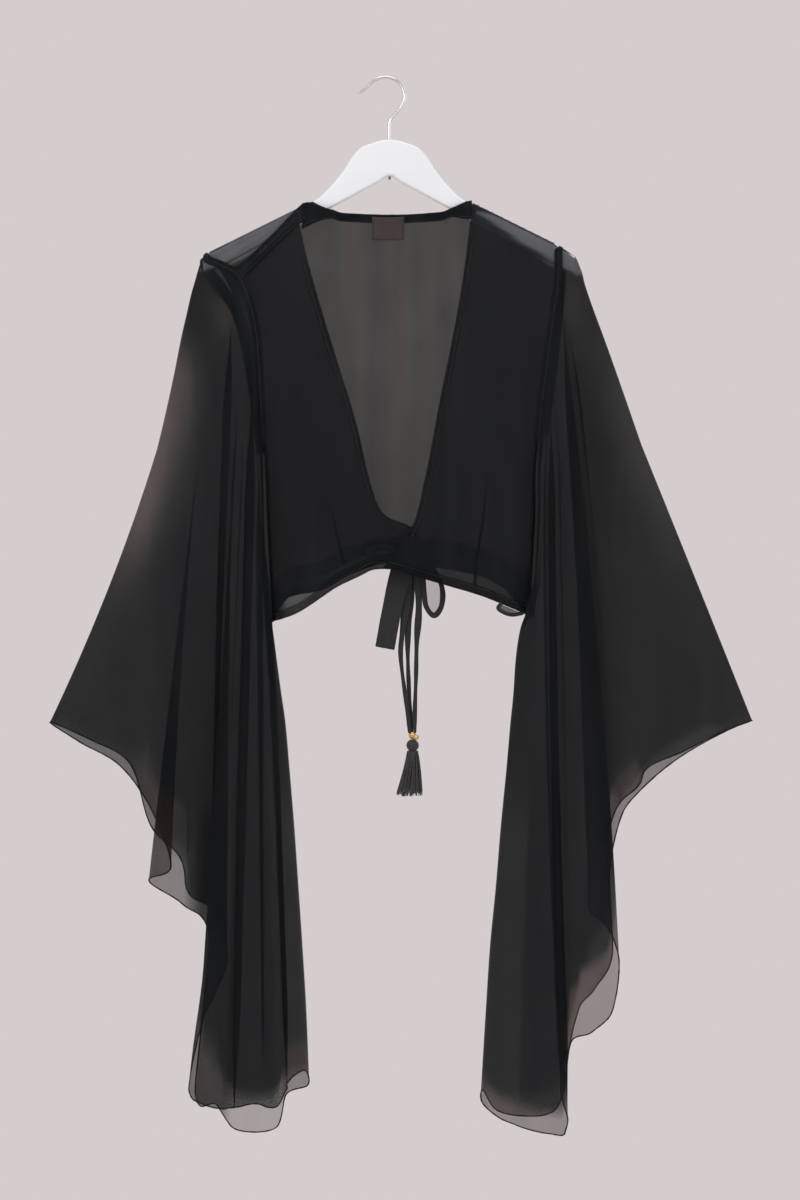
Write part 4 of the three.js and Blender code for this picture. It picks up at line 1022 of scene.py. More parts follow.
sleeves = {
    "columnsPerLine": 11, "rows": 84, "wall": 0.35, "hemRadius": 0.85,
    "lensAway": 3300, "lensX": 18.8, "lensZ": -611.6,
}
leftSleeve = {
    "ring": [
        (-209, 0, -203.4), (-208, -5.7, -205.4), (-207, -7.9, -212.5), (-187.5, -8.8, -221.5),
        (-172, -9.5, -232), (-160, -9.8, -259), (-151, -10, -301), (-146, -9.8, -377),
        (-142.5, -5.5, -436), (-142, 0, -466), (-144.5, 5.8, -424), (-153, 9.8, -359),
        (-168, 10, -285), (-188, 9.6, -248), (-207.5, 8.8, -222), (-208.5, 6.6, -208),
    ],
    "lines": [
        (0, -392, 0, -755, 20, 0, 0), (1, -344, -9, -776, 7, 0, 0), (1.8, -298, -14, -804, 0, 0, 0),
        (2.4, -274, -19, -876, -8, 0, 0), (2.9, -240, -21, -913, -6, 0, 0),
        (3.3, -229, -18, -956, -3, 0, 0), (3.7, -203, -11, -976, -2, 14, 0),
        (4, -184, -19, -1034, 0, 24, 0), (4.3, -211, -29, -1112, 0, -10, 0),
        (4.6, -219, -38, -1186, 0, -20, 0), (4.9, -210, -46, -1203, 0, -16, 0),
        (5.25, -190, -43, -1209, 0, 0, 0), (5.6, -183, -30, -1208, 0, 0, 0),
        (5.9, -172, -39, -1207, 0, 0, 0), (6.3, -152, -47, -1203, 0, 0, 0),
        (6.8, -127, -41, -1207, 0, 0, 0.4), (7.3, -116, -29, -1186, 0, 0, 0.7),
        (7.9, -109, -34, -1172, 0, 0, 1), (8.6, -94, -20, -1164, 0, 0, 1),
        (9.4, -91, 4, -1181, 0, 0, 1), (10, -116, 18, -1192, 0, 0, 1),
        (10.5, -127, 26, -1231, 0, 0, 0.7), (11, -174, 24, -1233, 0, 0, 0.2),
        (11.5, -196, 22, -1204, 0, 0, 0), (12, -214, 27, -1189, 0, 0, 0),
        (12.4, -205, 36, -1010, 0, 14, 0), (12.8, -236, 42, -969, 0, 6, 0),
        (13.1, -276, 34, -941, -4, -16, 0), (13.4, -250, 21, -924, -4, 20, 0),
        (13.8, -274, 13, -856, -4, 7, 0), (14.3, -310, 10, -806, 0, 0, 0),
        (15, -356, 8, -779, 7, 0, 0),
    ],
    "cap": [
        (0, 0, -2.5), (0.012, -4.5, -3), (0.05, -6, -1), (0.1, -7.5, 0), (0.16, -7.5, 0), (0.26, -5, 0),
        (0.42, 0, 0),
    ],
    "slack": [
        (0, 0), (0.2, 0.05), (0.261, 0.225), (0.311, 0.315), (0.36, 0.404), (0.41, 0.5), (0.483, 0.587),
        (0.582, 0.698), (0.68, 0.79), (0.78, 0.88), (0.877, 0.96), (1, 1.03),
    ],
    # place round the sleeve, width, sideways fold, depth, from, to
    "pleats": [
        (4.55, 0.30, 1.6, 1.4, 0.06, 0.97), (6.1, 0.28, 7, 2.6, 0.04, 0.93), (8.5, 0.35, 2, 1.6, 0.08, 0.97),
        (10.5, 0.35, 2, 1.6, 0.08, 0.97), (12.7, 0.28, 7, 2.8, 0.05, 0.98), (14.4, 0.30, 6, 2.4, 0.10, 0.97),
        (16.2, 0.28, 5, 2.2, 0.10, 0.97), (20.5, 0.35, 2, 1.6, 0.10, 0.95), (22.6, 0.35, 2, 1.6, 0.10, 0.97),
        (25.2, 0.35, 1.6, 1.4, 0.08, 0.96),
    ],
    # place and how far the hem kicks out sideways in its last stretch
    "kicks": [(7, 0), (8, -4), (9, -10), (10, -4), (11, 0), (23, 0), (24, -8), (25, 0), (32, 0)],
    "edge": -238, "thinAt": (-188, -275), "outerThin": 0.20,
    # place, height of the sheer hem, how close it is there
    "sheer": [
        (0, 8, 0.6), (2, 8, 0.6), (2.6, 70, 0.54), (4.4, 60, 0.54), (5, 8, 0.6), (7, 8, 0.6), (7.6, 90, 0.55),
        (10.6, 80, 0.55), (11.2, 10, 0.6), (14, 8, 0.6), (16, 30, 0.50), (18, 40, 0.50), (19, 24, 0.45),
        (20, 26, 0.43), (20.6, 40, 0.27), (22.2, 40, 0.27), (22.8, 40, 0.5), (24, 80, 0.52), (24.6, 140, 0.8),
        (25.4, 140, 0.8), (26, 60, 0.46), (27, 62, 0.43), (28.6, 50, 0.50), (29, 30, 0.54), (30, 24, 0.57),
        (31, 16, 0.57), (32, 10, 0.55),
    ],
}
rightSleeve = {
    "ring": [
        (207, 0, -196.6), (206.5, -5.7, -198.8), (206, -7.9, -204.5), (206, -8.8, -217),
        (205, -9.2, -240), (200, -9.8, -279), (187.5, -9.8, -372), (182, -5.5, -436),
        (181, 0, -467), (185.5, 5.8, -424), (196, 9.8, -346), (203.5, 9.8, -273), (207, 9.4, -232),
        (207, 8.8, -208), (206.5, 6.6, -199.5),
    ],
    "lines": [
        (0, 432, 0, -753, 1, 0, 0), (1, 399, -9, -765, 3, 0, 0), (1.7, 352, -13, -789, 0, 0, 0),
        (2.3, 310, -15, -808, 6, 0, 0), (2.7, 298, -14, -831, 4, 0, 0),
        (3.1, 270, -10, -862, 8, 0, 0), (3.5, 240, -11, -966, 5, -10, 0),
        (3.8, 260, -23, -993, 8, 12, 0), (4.1, 276, -30, -1032, 14, 36, 0),
        (4.4, 268, -39, -1093, 8, 37, 0), (4.7, 244, -42, -1119, 4, 18, 0),
        (5, 219, -37, -1131, 0, 0, 0), (5.3, 208, -26, -1184, -4, 0, 0),
        (5.6, 215, -37, -1235, -6, 0, 0), (5.9, 193, -44, -1238, -6, 0, 0),
        (6.3, 160, -44, -1230, 0, 0, 0.3), (6.8, 133, -34, -1217, 0, 0, 0.7),
        (7.5, 117, -18, -1201, 0, 0, 1), (8.3, 118, 6, -1187, 0, 0, 1),
        (8.9, 133, 20, -1210, 0, 0, 1), (9.3, 160, 28, -1217, 0, 0, 0.5),
        (9.7, 192, 31, -1215, 0, 0, 0), (10.1, 209, 28, -1196, 0, 3, 0),
        (10.5, 218, 22, -1135, 0, 4, 0), (10.9, 229, 26, -1091, 0, -3, 0),
        (11.3, 248, 34, -1067, 4, 7, 0), (11.7, 268, 41, -1028, 10, 11, 0),
        (12.1, 264, 26, -940, 6, -8, 0), (12.5, 277, 16, -870, 8, 0, 0),
        (12.9, 298, 13, -838, 3, 0, 0), (13.4, 343, 11, -799, 2, 0, 0),
        (14, 398, 8, -767, 3, 0, 0),
    ],
    "cap": [
        (0, 0, -1), (0.012, 7, 0), (0.028, 13, 0.5), (0.05, 13, 0), (0.08, 10.5, 0), (0.13, 8.5, 0),
        (0.2, 7, 0), (0.3, 4, 0), (0.42, 0, 0),
    ],
    "slack": [
        (0, 0), (0.21, 0.05), (0.254, 0.33), (0.302, 0.406), (0.35, 0.44), (0.398, 0.494), (0.47, 0.564),
        (0.567, 0.669), (0.663, 0.757), (0.759, 0.861), (0.855, 0.931), (1, 1.03),
    ],
    "pleats": [
        (3.9, 0.30, 2, 1.6, 0.12, 0.95), (5.5, 0.28, 7, 2.6, 0.06, 0.95), (7.5, 0.35, 2, 1.6, 0.10, 0.96),
        (9.4, 0.35, 2, 1.6, 0.08, 0.97), (11.5, 0.30, 6, 2.4, 0.06, 0.96), (12.8, 0.28, 7, 2.8, 0.03, 0.97),
        (15.5, 0.30, 3, 2.0, 0.10, 0.97), (19.6, 0.35, 2, 1.6, 0.08, 0.96), (21.5, 0.35, 2, 1.6, 0.10, 0.96),
        (24.0, 0.35, 2, 1.6, 0.08, 0.97),
    ],
    "kicks": [(0, 0), (32, 0)],
    "edge": 248, "thinAt": (222, -262), "outerThin": 0.08,
    "sheer": [
        (0, 8, 0.6), (3.4, 8, 0.6), (4, 36, 0.5), (5.2, 36, 0.5), (6, 70, 0.52), (7, 110, 0.48), (8, 82, 0.38),
        (10, 80, 0.38), (11, 60, 0.40), (12, 30, 0.42), (13, 26, 0.40), (16, 26, 0.40), (17, 20, 0.46),
        (18, 22, 0.5), (22, 30, 0.5), (24, 30, 0.5), (25, 60, 0.5), (27.4, 80, 0.5), (28, 24, 0.46),
        (30, 18, 0.47), (31, 12, 0.5), (32, 8, 0.6),
    ],
}


def sleevePoint(sleeve, place, v):
    ring, lines = sleeve["ring"], sleeve["lines"]
    count = len(lines)
    place %= count
    i = int(place)
    nextAt = lines[i + 1][0] if i + 1 < count else len(ring)
    at = mix(lines[i][0], nextAt, place - i)
    topX, topY, topZ = (cyclic(column, at) for column in sleeve["ringColumns"])
    _, hemX, hemY, hemZ, bow, tuck, side = (cyclic(column, place) for column in sleeve["lineColumns"])
    fall = mix(v, smoothRows(sleeve["slack"], v), clamp(side))
    nearShoulder = ease(-400, -300, topZ)
    overEnd = (1 - ease(6.8, 8.6, abs(topY))) * nearShoulder
    x = mix(topX, hemX - tuck, fall) + tuck * v ** 1.5 + bow * 4 * v * (1 - v)
    x += smoothRows(sleeve["cap"], v) * overEnd + lookup(sleeve["kicks"], place) * ease(0.86, 1, v)
    free = mix(topY, hemY, v ** 0.75)
    clear = math.copysign(max(abs(free), body["overHanger"] + 0.3), topY)
    y = mix(free, clear, ease(4.5, 5.5, abs(topY)) * (1 - ease(0.1, 0.2, v)) * nearShoulder)
    z = mix(topZ, hemZ, v) + smoothRows(sleeve["lift"], v) * overEnd
    for centre, width, fold, depth, start, end in sleeve["pleats"]:
        off = (place - centre + count / 2) % count - count / 2
        if abs(off) < 3 * width:
            strength = ease(start, start + 0.18, v) * (1 - 0.7 * ease(end - 0.1, end + 0.04, v))
            swell = math.exp(-(off / width) ** 2) * strength
            x -= fold * 2.2 * (off / width) * swell
            y -= math.copysign(depth, y) * swell
    away = 1 + y / sleeves["lensAway"]
    return Vector((mix(sleeves["lensX"], x, away), y, mix(sleeves["lensZ"], z, away)))


# closer together at the shoulder, where the cloth turns over the hanger's end
def sleeveLevels(rows):
    return [mix(t, t * t, 0.72) for t in (j / rows for j in range(rows + 1))]


def prepareSleeve(sleeve):
    sleeve["ringColumns"] = list(zip(*sleeve["ring"]))
    sleeve["lineColumns"] = list(zip(*sleeve["lines"]))
    sleeve["lift"] = [(row[0], row[2]) for row in sleeve["cap"]]
    sleeve["cap"] = [(row[0], row[1]) for row in sleeve["cap"]]
    count = len(sleeve["lines"]) * sleeves["columnsPerLine"]
    return [[sleevePoint(sleeve, i / sleeves["columnsPerLine"], v) for i in range(count)]
            for v in sleeveLevels(sleeves["rows"])]


# close where the cloth hangs in gathered columns, sheer along the hem and the outer fold
def sleeveCover(sleeve, grid):
    levels = sleeveLevels(sleeves["rows"])
    count = len(sleeve["lines"])
    hem = grid[-1]
    heights = [(place, height) for place, height, _ in sleeve["sheer"]]
    shares = [(place, cover) for place, _, cover in sleeve["sheer"]]
    covers = []
    for v, line in zip(levels, grid):
        row = []
        for i, p in enumerate(line):
            place = i / sleeves["columnsPerLine"]
            inside = (p.x - sleeve["edge"]) * (1 if sleeve["edge"] < 0 else -1)
            cover = mix(cloth["wing"], cloth["column"], ease(-45, 5, inside))
            outside = abs(p.x - line[0].x)
            thin = ease(0.1, 0.25, v) * (1 - 0.85 * ease(0.5, 0.8, v)) * sleeve["outerThin"]
            cover -= (1 - ease(2, 44, outside)) * thin
            cap = bump(sleeve["thinAt"][0], 20, p.x) * bump(sleeve["thinAt"][1], 45, p.z)
            cover -= 0.15 * cap * (p.y < 0)
            if sleeve["edge"] < 0 and p.y < 0 and p.z > -275:
                offLine = abs((p.x + 208) * 0.687 + (p.z + 222) * 0.727)
                cover = mix(cover, 0.85, ease(18, 8, offLine) * ease(-214, -203, p.x))
            if 15 < place < 20:
                cover -= 0.06 * ease(0.45, 0.6, v)
            low = lookup(heights, place)
            near = 1 - ease(0.88 * low, 1.06 * low, (p - hem[i]).length)
            cover = mix(cover, cloth["onWood"], overWood(p))
            row.append(mix(cover, lookup(shares, place), near))
        covers.append(row)
    return covers


def makeSleeves():
    made = {}
    for name, node, sleeve in (("sleeveLeft", "sleeve_left", leftSleeve),
                               ("sleeveRight", "sleeve_right", rightSleeve)):
        grid = sleeve["grid"] = prepareSleeve(sleeve)
        made[name] = panel(name, grid, sleeveCover(sleeve, grid), chiffon, sleeves["wall"], node, True)
    return made


# Geometry Nodes: cords along a path, stitches along a path, and the tassel's threads

class GeometryTree:
    def __init__(self, name, inputs):
        self.group = bpy.data.node_groups.new(name, "GeometryNodeTree")
        face = self.group.interface
        face.new_socket("Geometry", in_out="INPUT", socket_type="NodeSocketGeometry")
        face.new_socket("Geometry", in_out="OUTPUT", socket_type="NodeSocketGeometry")
        kinds = {"Sides": "Int", "Seed": "Int", "Threads": "Int", "Material": "Material"}
        self.sockets = {}
        for label in inputs:
            kind = "NodeSocket" + kinds.get(label, "Float")
            self.sockets[label] = face.new_socket(label, in_out="INPUT", socket_type=kind).identifier
        self.start = self.group.nodes.new("NodeGroupInput")
        self.end = self.group.nodes.new("NodeGroupOutput")

    def given(self, label):
        return self.start.outputs[label]

    def node(self, kind, settings=None, inputs=None, output=0):
        return addNode(self.group, kind, settings, inputs).outputs[output]

    def maths(self, operation, *values):
        return self.node("ShaderNodeMath", {"operation": operation}, dict(enumerate(values)))

    def random(self, low, high, seed=None):
        seed = self.given("Seed") if seed is None else self.maths("ADD", self.given("Seed"), float(seed))
        return self.node("FunctionNodeRandomValue", {"data_type": "FLOAT"}, {2: low, 3: high, "Seed": seed}, 1)

    def finish(self, geometry):
        real = self.node("GeometryNodeRealizeInstances", inputs={"Geometry": geometry})
        smooth = self.node("GeometryNodeSetShadeSmooth", inputs={"Geometry": real})
        painted = self.node("GeometryNodeSetMaterial",
                            inputs={"Geometry": smooth, "Material": self.given("Material")})
        self.group.links.new(painted, self.end.inputs["Geometry"])
        return self

    def run(self, obj, values):
        modifier = obj.modifiers.new("made", "NODES")
        modifier.node_group = self.group
        for label, value in values.items():
            modifier[self.sockets[label]] = value
        return plainMesh(obj)


def edgingTree():
    tree = GeometryTree("rolledEdge", ("Radius", "Sides", "Cover", "Seed", "Material"))
    radius = tree.maths("MULTIPLY", tree.given("Radius"), tree.random(0.82, 1.18))
    ring = tree.node("GeometryNodeCurvePrimitiveCircle",
                     inputs={"Resolution": tree.given("Sides"), "Radius": 1.0})
    solid = tree.node("GeometryNodeCurveToMesh", inputs={
        "Curve": tree.given("Geometry"), "Profile Curve": ring, "Fill Caps": True, "Scale": radius})
    marked = tree.node("GeometryNodeStoreNamedAttribute", {"data_type": "FLOAT", "domain": "POINT"}, {
        "Geometry": solid, "Name": "cover", "Value": tree.given("Cover")})
    return tree.finish(marked)


def stitchTree():
    tree = GeometryTree("stitches", ("Spacing", "Length", "Thread", "Seed", "Material"))
    points = tree.node("GeometryNodeResampleCurve", {"mode": "LENGTH"},
                       {"Curve": tree.given("Geometry"), "Length": tree.given("Spacing")})
    tangent = tree.node("GeometryNodeInputTangent")
    turn = tree.node("FunctionNodeAlignRotationToVector", {"axis": "X"}, {"Vector": tangent})
    rod = tree.node("GeometryNodeMeshCylinder", inputs={
        "Vertices": 6, "Side Segments": 1, "Radius": tree.given("Thread"), "Depth": tree.given("Length")})
    lying = tree.node("GeometryNodeTransform", inputs={
        "Geometry": rod, "Rotation": (0, math.pi / 2, 0), "Scale": (1, 1, 1)})
    return tree.finish(tree.node("GeometryNodeInstanceOnPoints", inputs={
        "Points": points, "Instance": lying, "Rotation": turn, "Scale": tree.random(0.85, 1.1)}))


def fringeTree():
    tree = GeometryTree("fringe", ("Threads", "Length", "Root", "Spread", "Thread", "Seed", "Material"))
    length = tree.given("Length")

    def vector(**parts):
        return tree.node("ShaderNodeCombineXYZ", inputs=parts)

    angle = tree.random(0.0, 2 * math.pi, 1)
    share = tree.maths("SQRT", tree.random(0.02, 1.0, 2))
    reach = tree.maths("MULTIPLY", share, tree.given("Root"))
    across, deep = tree.maths("COSINE", angle), tree.maths("SINE", angle)
    spot = vector(X=tree.maths("MULTIPLY", across, reach), Y=tree.maths("MULTIPLY", deep, reach))
    points = tree.node("GeometryNodePoints", inputs={"Count": tree.given("Threads"), "Position": spot})
    drop = tree.maths("MULTIPLY", length, -1.0)
    bend = vector(X=tree.maths("MULTIPLY", length, 0.035), Z=tree.maths("MULTIPLY", drop, 0.45))
    strand = tree.node("GeometryNodeCurveQuadraticBezier", inputs={
        "Resolution": 7, "Start": (0, 0, 0), "Middle": bend, "End": vector(Z=drop)})
    ring = tree.node("GeometryNodeCurvePrimitiveCircle",
                     inputs={"Resolution": 4, "Radius": tree.given("Thread")})
    thread = tree.node("GeometryNodeCurveToMesh",
                       inputs={"Curve": strand, "Profile Curve": ring, "Fill Caps": True})
    lean = tree.maths("MULTIPLY", share, tree.given("Spread"))
    back = tree.maths("MULTIPLY", tree.maths("MULTIPLY", across, lean), -1.0)
    turn = vector(X=tree.maths("MULTIPLY", deep, lean), Y=back, Z=tree.random(-0.5, 0.5, 3))
    rotation = tree.node("FunctionNodeEulerToRotation", inputs={"Euler": turn})
    return tree.finish(tree.node("GeometryNodeInstanceOnPoints", inputs={
        "Points": points, "Instance": thread, "Rotation": rotation, "Scale": tree.random(0.88, 1.0, 4)}))


edgingNodes = edgingTree()
stitchNodes = stitchTree()
fringeNodes = fringeTree()


def curveFrom(name, points, closed=False):
    curve = bpy.data.curves.new(name, "CURVE")
    curve.dimensions = "3D"
    spline = curve.splines.new("POLY")
    spline.points.add(len(points) - 1)
    for knot, point in zip(spline.points, points):
        knot.co = (*(Vector(point) * mm), 1)
    spline.use_cyclic_u = closed
    return placed(bpy.data.objects.new(name, curve))


# one mesh from several, each with its own faces and marks
def joined(name, parts):
    bpy.ops.object.select_all(action="DESELECT")
    for part in parts:
        part.select_set(True)
    bpy.context.view_layer.objects.active = parts[0]
    bpy.ops.object.join()
    parts[0].name = name
    parts[0].data.name = name
    return parts[0]


# Bands, bindings and seams: their points are the panels' own, moved out

trim = {"hem": 10, "edge": 8, "lift": 0.6, "wall": 0.45, "stitch": 2.4, "edgeRadius": 0.75, "seamLift": 0.95}
# how much of the light one face of each narrow piece stops
narrow = {
    "hem": 0.45, "neckEdge": 0.14, "binding": 0.72, "leftSeam": 0.74, "rightSeam": 0.85, "armhole": 0.82,
    "dart": 0.55, "waist": 0.3, "bow": 0.22, "sideLoop": 0.6, "flatEnd": 0.9, "roll": 0.85, "thinRoll": 0.4,
}


# the point a distance up a column of the grid
def walkUp(column, distance):
    for a, b in zip(column, column[1:]):
        gap = (b - a).length
        if distance <= gap:
            return a.lerp(b, distance / gap)
        distance -= gap
    return column[-1].copy()


def hemStrip(grid, width):
    return [[walkUp(column, width * k / 4) for column in zip(*grid)] for k in range(5)]


# a strip beside the first or last column of a grid
def edgeStrip(rows, first, width):
    cuts = [[walkUp(row if first else row[::-1], width * k / 3) for k in range(4)] for row in rows]
    return cuts if first else [line[::-1] for line in cuts]


# rows of points from a rule that takes the share across and the share along
def gridFrom(rows, columns, pointAt):
    return [[pointAt(i / columns, k / rows) for i in range(columns + 1)] for k in range(rows + 1)]


def strip(name, grid, lift, cover, wall=trim["wall"]):
    marks = {"cover": [[cover] * len(line) for line in grid]}
    return clothFromGrid(name, grid, band, wall, lift=lift, marks=marks)


def edging(name, points, radius, closed=False, cover=narrow["roll"]):
    return edgingNodes.run(curveFrom(name, points, closed), {
        "Radius": radius * mm, "Sides": 6, "Cover": cover, "Seed": 3, "Material": band})


def stitching(name, points, spacing=trim["stitch"]):
    return stitchNodes.run(curveFrom(name, points), {
        "Spacing": spacing * mm, "Length": 1.8 * mm, "Thread": 0.2 * mm, "Seed": 5, "Material": sewing})


# a band or seam from its parts, and its line of stitches
def sewn(name, node, parts, line):
    piece = dress(joined(name, parts), band, "seam_cloth", node)
    return [piece, dress(stitching(name + "Stitches", line), sewing, "seam_cloth")]


def makeHems():
    made = {}
    for name, grid, way, node in (
            ("hemLeft", frontLeftGrid, 1, "hem_band_left"), ("hemRight", frontRightGrid, 1, "hem_band_right"),
            ("hemBack", backGrid, -1, "hem_band_back")):
        rows = hemStrip(grid, trim["hem"])
        piece = strip(name, rows, way * trim["lift"], narrow["hem"])
        fold = edging(name + "Fold", moved(rows, way * 0.3)[0], trim["edgeRadius"])
        made[name] = sewn(name, node, [piece, fold], moved(rows, way * trim["seamLift"])[3])
    return made


def makeNeckline():
    made = {}
    wrapped = int(0.29 * len(frontLeftGrid))
    leftRows = frontLeftGrid[wrapped:-int(0.1 * len(frontLeftGrid))]
    rightRows = frontRightGrid[6:body["rows"]]
    for name, rows, first, node in (
            ("neckEdgeLeft", leftRows, False, "neckline_edge_left"),
            ("neckEdgeRight", rightRows, True, "neckline_edge_right")):
        cut = edgeStrip(rows, first, trim["edge"])
        piece = strip(name, cut, trim["lift"], narrow["neckEdge"])
        line = [row[0 if first else -1] for row in moved(cut, 0.3)]
        fold = edging(name + "Fold", line, 0.5, cover=narrow["thinRoll"])
        inner = [row[2 if first else 1] for row in moved(cut, trim["seamLift"])]
        made[name] = sewn(name, node, [piece, fold], inner)

    top = [[p for p in line if -84 < p.x < 98] for line in backGrid[-34:]]
    shortest = min(len(line) for line in top)
    top = [line[:shortest] for line in top]
    for j, line in enumerate(top):
        line[:] = [line[0] + Vector((-13, 1, -2)), *line, line[-1] + Vector((6, 0, 1))]
        for i, p in enumerate(line):
            ends = ease(-58, -88, p.x) + ease(76, 102, p.x)
            forward = max(ease(-50, -62, p.x), ease(68, 80, p.x))
            drop = (1 - (j / (len(top) - 1)) ** 0.7) * (12 * ends + 8 * ease(-74, -92, p.x))
            line[i] = p + Vector((0, -18 * forward, 3.5 * ends - drop))
    outer = strip("neckBinding", top[::3], -trim["lift"], narrow["binding"])
    inner = strip("neckBindingInner", top[::3], trim["lift"], narrow["binding"])
    fold = edging("neckBindingFold", top[-1], 1.0)
    line = moved(top, trim["seamLift"])[3]
    made["neckBinding"] = sewn("neckBinding", "neck_binding", [outer, inner, fold], line)
    return made


# a folded seam in front of the left shoulder and one along the ridge of the right
def makeShoulders():
    upper = Path([(-84, -9.7, -149.5), (-91, -9.8, -146.6), (-130, -10, -183.5), (-171, -10, -223.5)])
    lower = Path([(-93, -9.8, -166), (-99, -9.9, -171.5), (-130, -10.1, -200), (-163.5, -10, -233)])

    def leftPoint(u, t):
        swell = 0.9 * math.sin(u * 34 + 2.2 * math.sin(t * 3)) * math.sin(math.pi * t)
        forward = 0.5 * math.sin(math.pi * t) + 0.35 * swell
        return upper.at(u).lerp(lower.at(u), t) + Vector((0, -forward, 0))

    def rightPoint(u, t):
        x, y = mix(105, 200, u), mix(-2.7, 2.7, t)
        gather = 0.5 * math.sin(x * 1.15) * (1 - ease(120, 150, x)) + 0.18 * math.sin(x * 0.7)
        return Vector((x, y, hangerTopAt(x) + body["crest"] + 1.0 - 0.05 * y * y + gather))

    rows = gridFrom(6, 60, leftPoint)
    left = strip("shoulderSeamLeft", rows, 0, narrow["leftSeam"], 0.5)
    folds = [edging("shoulderSeamLeft" + end, line, 0.7)
             for end, line in (("Top", rows[0]), ("Under", rows[-1]))]
    left = dress(joined("shoulderSeamLeft", [left, *folds]), band, "seam_cloth", "shoulder_seam_left")
    stitches = stitching("shoulderStitches", [p + Vector((0, -0.5, 0)) for p in rows[5]])
    dress(stitches, sewing, "seam_cloth")
    right = strip("shoulderSeamRight", gridFrom(6, 110, rightPoint), 0, narrow["rightSeam"], 0.6)
    return {"left": [left, stitches], "right": [dress(right, band, "seam_cloth", "shoulder_seam_right")]}


armholes = {"out": 3.5, "backOut": 7, "in": 6, "lift": 0.9, "steps": 150}


def makeArmholes():
    made = {}
    steps = armholes["steps"]
    for name, sleeve, way, frontEnd in (("Left", leftSleeve, -1, 17), ("Right", rightSleeve, 1, 16)):
        for side, start, end, out in (
                ("Front", 0.1, frontEnd, armholes["out"]), ("Back", -12.5, -0.1, armholes["backOut"])):
            ring = [sleevePoint(sleeve, mix(start, end, i / steps), 0) for i in range(steps + 1)]

            def bandPoint(u, share):
                i = round(u * steps)
                along = ring[min(steps, i + 4)] - ring[max(0, i - 4)]
                across = Vector((along.z, 0, -along.x)).normalized()
                across *= math.copysign(1, across.x * way)
                reach = mix(-armholes["in"], out, share) * mix(0.25, 1, ease(0, 1.8, abs(mix(start, end, u))))
                return ring[i] + across * reach + Vector((0, 0.2 * math.sin(i * 0.9 + share * 6), 0))

            rows = gridFrom(6, steps, bandPoint)
            full = "armhole" + name + side
            piece = strip(full, rows, way * armholes["lift"], narrow["armhole"], 0.5)
            ridge = edging(full + "Ridge", moved(rows, way * armholes["lift"])[2], 0.75)
            node = "_".join(("armhole_seam", name.lower(), side.lower()))
            made[full] = sewn(full, node, [piece, ridge], moved(rows, way * (armholes["lift"] + 0.4))[3])
    return made


# the side seams' allowance closes each side of the body, between the panels and the sleeve
def makeSideSeams():
    made = []
    for name, edge, way in (("sideSeamLeft", 0, -1), ("sideSeamRight", -1, 1)):
        line = [row[edge] + Vector((way * 1.0, 0, 0)) for row in backGrid[:body["rows"]] if row[edge].z < -400]
        points = Path([(p.x, 0, p.z) for p in line[::2]], 4).points
        piece = tube(name, points, lambda t: 4.8, 10, flat=0.24)
        marks = piece.data.attributes.new("cover", "FLOAT", "POINT")
        marks.data.foreach_set("value", [narrow["roll"]] * len(piece.data.vertices))
        made.append(dress(piece, band, "seam_cloth"))
    return made


def makeSleeveHems():
    return [dress(edging(name, sleeve["grid"][-1], sleeves["hemRadius"], closed=True), band, "seam_cloth")
            for name, sleeve in (("cuffLeft", leftSleeve), ("cuffRight", rightSleeve))]


# Darts: a pinched line with a doubled fold behind it
darts = {
    "dartRight": [(122, -463), (115, -520), (108, -560), (104.5, -594)],
    "dartLeft": [(-60, -512), (-54, -540), (-46, -571)],
}


def depthAt(grid, x, z):
    near = min((p for line in grid for p in line), key=lambda p: (p.x - x) ** 2 + (p.z - z) ** 2)
    return near.y


def makeDarts():
    made = []
    for name, rows in darts.items():
        grid = frontRightGrid if name == "dartRight" else frontLeftGrid
        path = Path([(x, depthAt(grid, x, z) - 0.5, z) for x, z in rows]).evenly(40)
        wide = [mix(0.4, 3.4, i / 40) for i in range(41)]
        lines = [[p + Vector((w * k, 0.25 * abs(k), 0)) for p, w in zip(path, wide)] for k in (-0.15, 0.3, 1)]
        piece = strip(name, lines, 0, narrow["dart"], 0.3)
        ridge = edging(name + "Ridge", path, 0.5)
        made.append(dress(joined(name, [piece, ridge]), band, "seam_cloth"))
    return made


# a bare woven label, sewn to the inside of the neck at both ends
def makeLabel():
    wide, high, x0, top = 38, 27, 4.7, -161

    def point(u, t):
        bow = math.sin(math.pi * u)
        return Vector((x0 + mix(-wide / 2, wide / 2, u), 5.75 - 0.5 * bow * math.sin(math.pi * t),
                       top - high * t - 0.4 * bow))

    rows = gridFrom(12, 18, point)
    piece = dress(clothFromGrid("neckLabel", rows, labelCloth, 0.5), labelCloth, "label_cloth", "label")
    ends = [[line[k] + Vector((0, -0.35, 0)) for line in rows] for k in (1, -2)]
    stitches = [stitching("labelEnd", ends[0], 2.0), stitching("labelOtherEnd", ends[1], 2.0)]
    return piece, dress(joined("labelStitches", stitches), sewing, "seam_cloth")


# Ties: a strip round the back of the waist, a knot, two loops, a flat end and three cords

